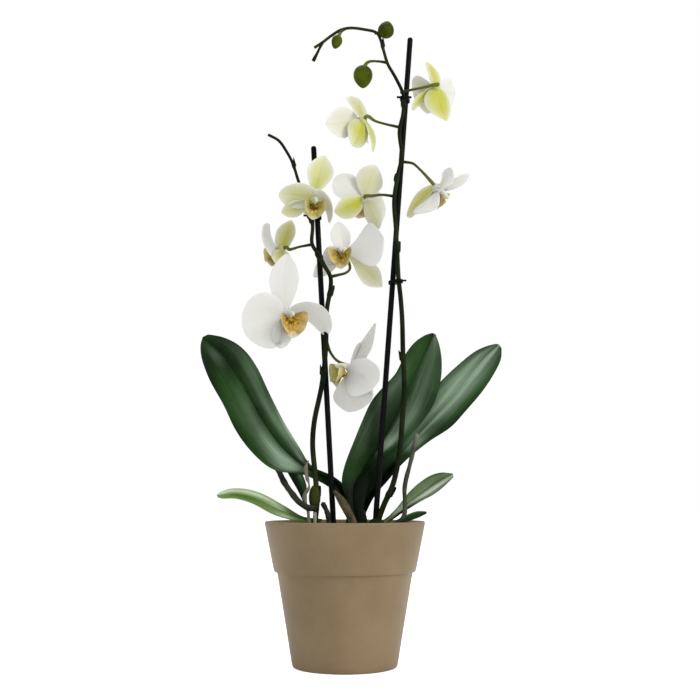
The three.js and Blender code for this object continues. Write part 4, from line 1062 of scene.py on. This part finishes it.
rootPlan = {
    "root_loop_left": dict(radius=2.6, skin=darkRoot, slot="dark_root",
                           route=[(-24, -14, 132), (-27, -19, 131), (-32, -21, 132), (-38, -21, 136),
                                  (-45, -18, 144), (-51, -11, 152), (-56, -2, 161), (-60, 6, 169)]),
    "root_upright_right": dict(radius=1.9, skin=greyRoot, slot="root", paleAt=lambda u: max(0, u - 0.85) * 3,
                               route=[(38, -20, 98), (42, -20, 116), (49, -20, 124), (50.4, -19, 132),
                                      (50, -18, 145), (51, -17, 153), (55, -16, 168), (58.4, -14, 181),
                                      (61.5, -12, 194)]),
    "root_grey_left": dict(radius=1.5, skin=greyRoot, slot="root", paleAt=lambda u: 0.8,
                           route=[(-25, -20, 98), (-25, -20, 117), (-25, -19, 128)]),
    "root_dark_left": dict(radius=2.2, skin=darkRoot, slot="dark_root",
                           route=[(-12, -18, 98), (-13, -18, 117), (-15, -19, 128), (-19, -18, 136)]),
    "dry_twig_left": dict(radius=1.4, skin=drySkin, slot="dry_sheath", rough=0.3, paleAt=lambda u: 0.25,
                          route=[(-31, -20, 98), (-30, -20, 118), (-31, -20, 130), (-34, -18, 141),
                                 (-30, -18.5, 149), (-32, -16, 157), (-33, -14, 165), (-31, -10, 171)]),
}
oldSheathPlan = {
    "left": [(5, -14, 102), (4, -15, 117), (-1, -16, 127), (-6, -16, 136), (-10, -15, 145)],
    "rib": [(9, -17, 102), (8, -18, 117), (3, -19, 129), (-2, -18, 137), (-9, -17, 146)],
    "right": [(13, -14, 102), (11, -15, 117), (6, -16, 129), (1, -16, 138), (-8, -15, 146)],
}


def makeRoot(node, plan):
    rng = random.Random(node)
    shift = rng.uniform(0, 6)

    def radiusAt(u):
        tip = math.sqrt(max(1 - max(0, (u - 0.96) / 0.04) ** 2, 0.05))
        uneven = plan.get("rough", 0.07)
        return plan["radius"] * tip * (1 + uneven * sin(23 * u + shift) + 0.6 * uneven * sin(51 * u))

    tube = makeTube(plainName(node), plan["route"], radiusAt, 1.0, 16)
    paintAlong(tube, plan["route"], "pale", plan.get("paleAt", lambda u: 0))
    return settle(tube, plan["skin"], plan["slot"], node)


makeCrown(crownPlan)
for node, plan in rootPlan.items():
    makeRoot(node, plan)
oldSheath = makeBlade("oldSheath", leafSurface(oldSheathPlan), 24, 10, 1.1,
                      {"pale": lambda u, v: 0.5 * max(0, -v - 0.4) * min(1, 3 * u)})
settle(oldSheath, drySkin, "dry_sheath", "old_sheath")
print("crown and roots done")

# floor, light and camera
stagePlan = {"floor": (0.95, 0.95, 0.95), "glow": 0.6, "soft": 0.72, "backdrop": 1.0}
# place, what it points at, size and power
lightPlan = {
    "keyLight": ((1.25, -1.05, 1.05), (0, 0, 0.25), 0.8, 15),
    "fillLight": ((-1.3, -0.9, 0.7), (0, 0, 0.25), 1.2, 1.4),
    "topLight": ((-0.1, 0.35, 1.7), (0, 0, 0.3), 1.0, 8),
}
cameraPlan = {"place": (0.0043, -0.907, 0.142), "upward": 7.862, "lens": 54}


def makeStage(plan):
    clearSelection()
    bpy.ops.mesh.primitive_plane_add(size=14, location=(0, 0, 0))
    floor = bpy.context.object
    floor.name = "paleFloor"
    material, tree = newFinish("floorPaper", Roughness=0.9, Specular_IOR_Level=0.1,
                               Base_Color=(*plan["floor"], 1), Emission_Color=(1, 1, 1, 1))
    seen = put(tree, "LightPath").outputs["Is Camera Ray"]  # the glow doesn't light the plant
    shader = tree.nodes["Principled BSDF"]
    tree.links.new(times(tree, seen, plan["glow"]), shader.inputs["Emission Strength"])
    floor.data.materials.append(material)
    world = bpy.data.worlds.new("studio")
    scene.world = world
    world.use_nodes = True
    tree = world.node_tree
    soft = tree.nodes["Background"]  # lights the plant
    soft.inputs["Color"].default_value = (1, 1, 1, 1)
    soft.inputs["Strength"].default_value = plan["soft"]
    paper = put(tree, "Background", Color=(1, 1, 1, 1), Strength=plan["backdrop"])  # white behind it
    seen = put(tree, "LightPath").outputs["Is Camera Ray"]
    either = put(tree, "MixShader", _0=seen, _1=soft.outputs[0], _2=paper.outputs[0])
    tree.links.new(either.outputs[0], tree.nodes["World Output"].inputs["Surface"])


def makeLight(name, place, target, size, power):
    lamp = bpy.data.lights.new(name, "AREA")
    lamp.energy, lamp.size = power, size
    holder = bpy.data.objects.new(name, lamp)
    scene.collection.objects.link(holder)
    holder.location = place
    holder.rotation_euler = (Vector(target) - Vector(place)).to_track_quat("-Z", "Y").to_euler()


def makeCamera(plan):
    lens = bpy.data.cameras.new("camera")
    lens.lens, lens.sensor_width = plan["lens"], 36
    lens.clip_start, lens.clip_end = 0.01, 50
    view = bpy.data.objects.new("camera", lens)
    scene.collection.objects.link(view)
    view.location = plan["place"]
    view.rotation_euler = (radians(90 + plan["upward"]), 0, 0)
    scene.camera = view


makeStage(stagePlan)
for name, light in lightPlan.items():
    makeLight(name, *light)
makeCamera(cameraPlan)
scene.view_settings.view_transform = "Standard"
print("stage done")
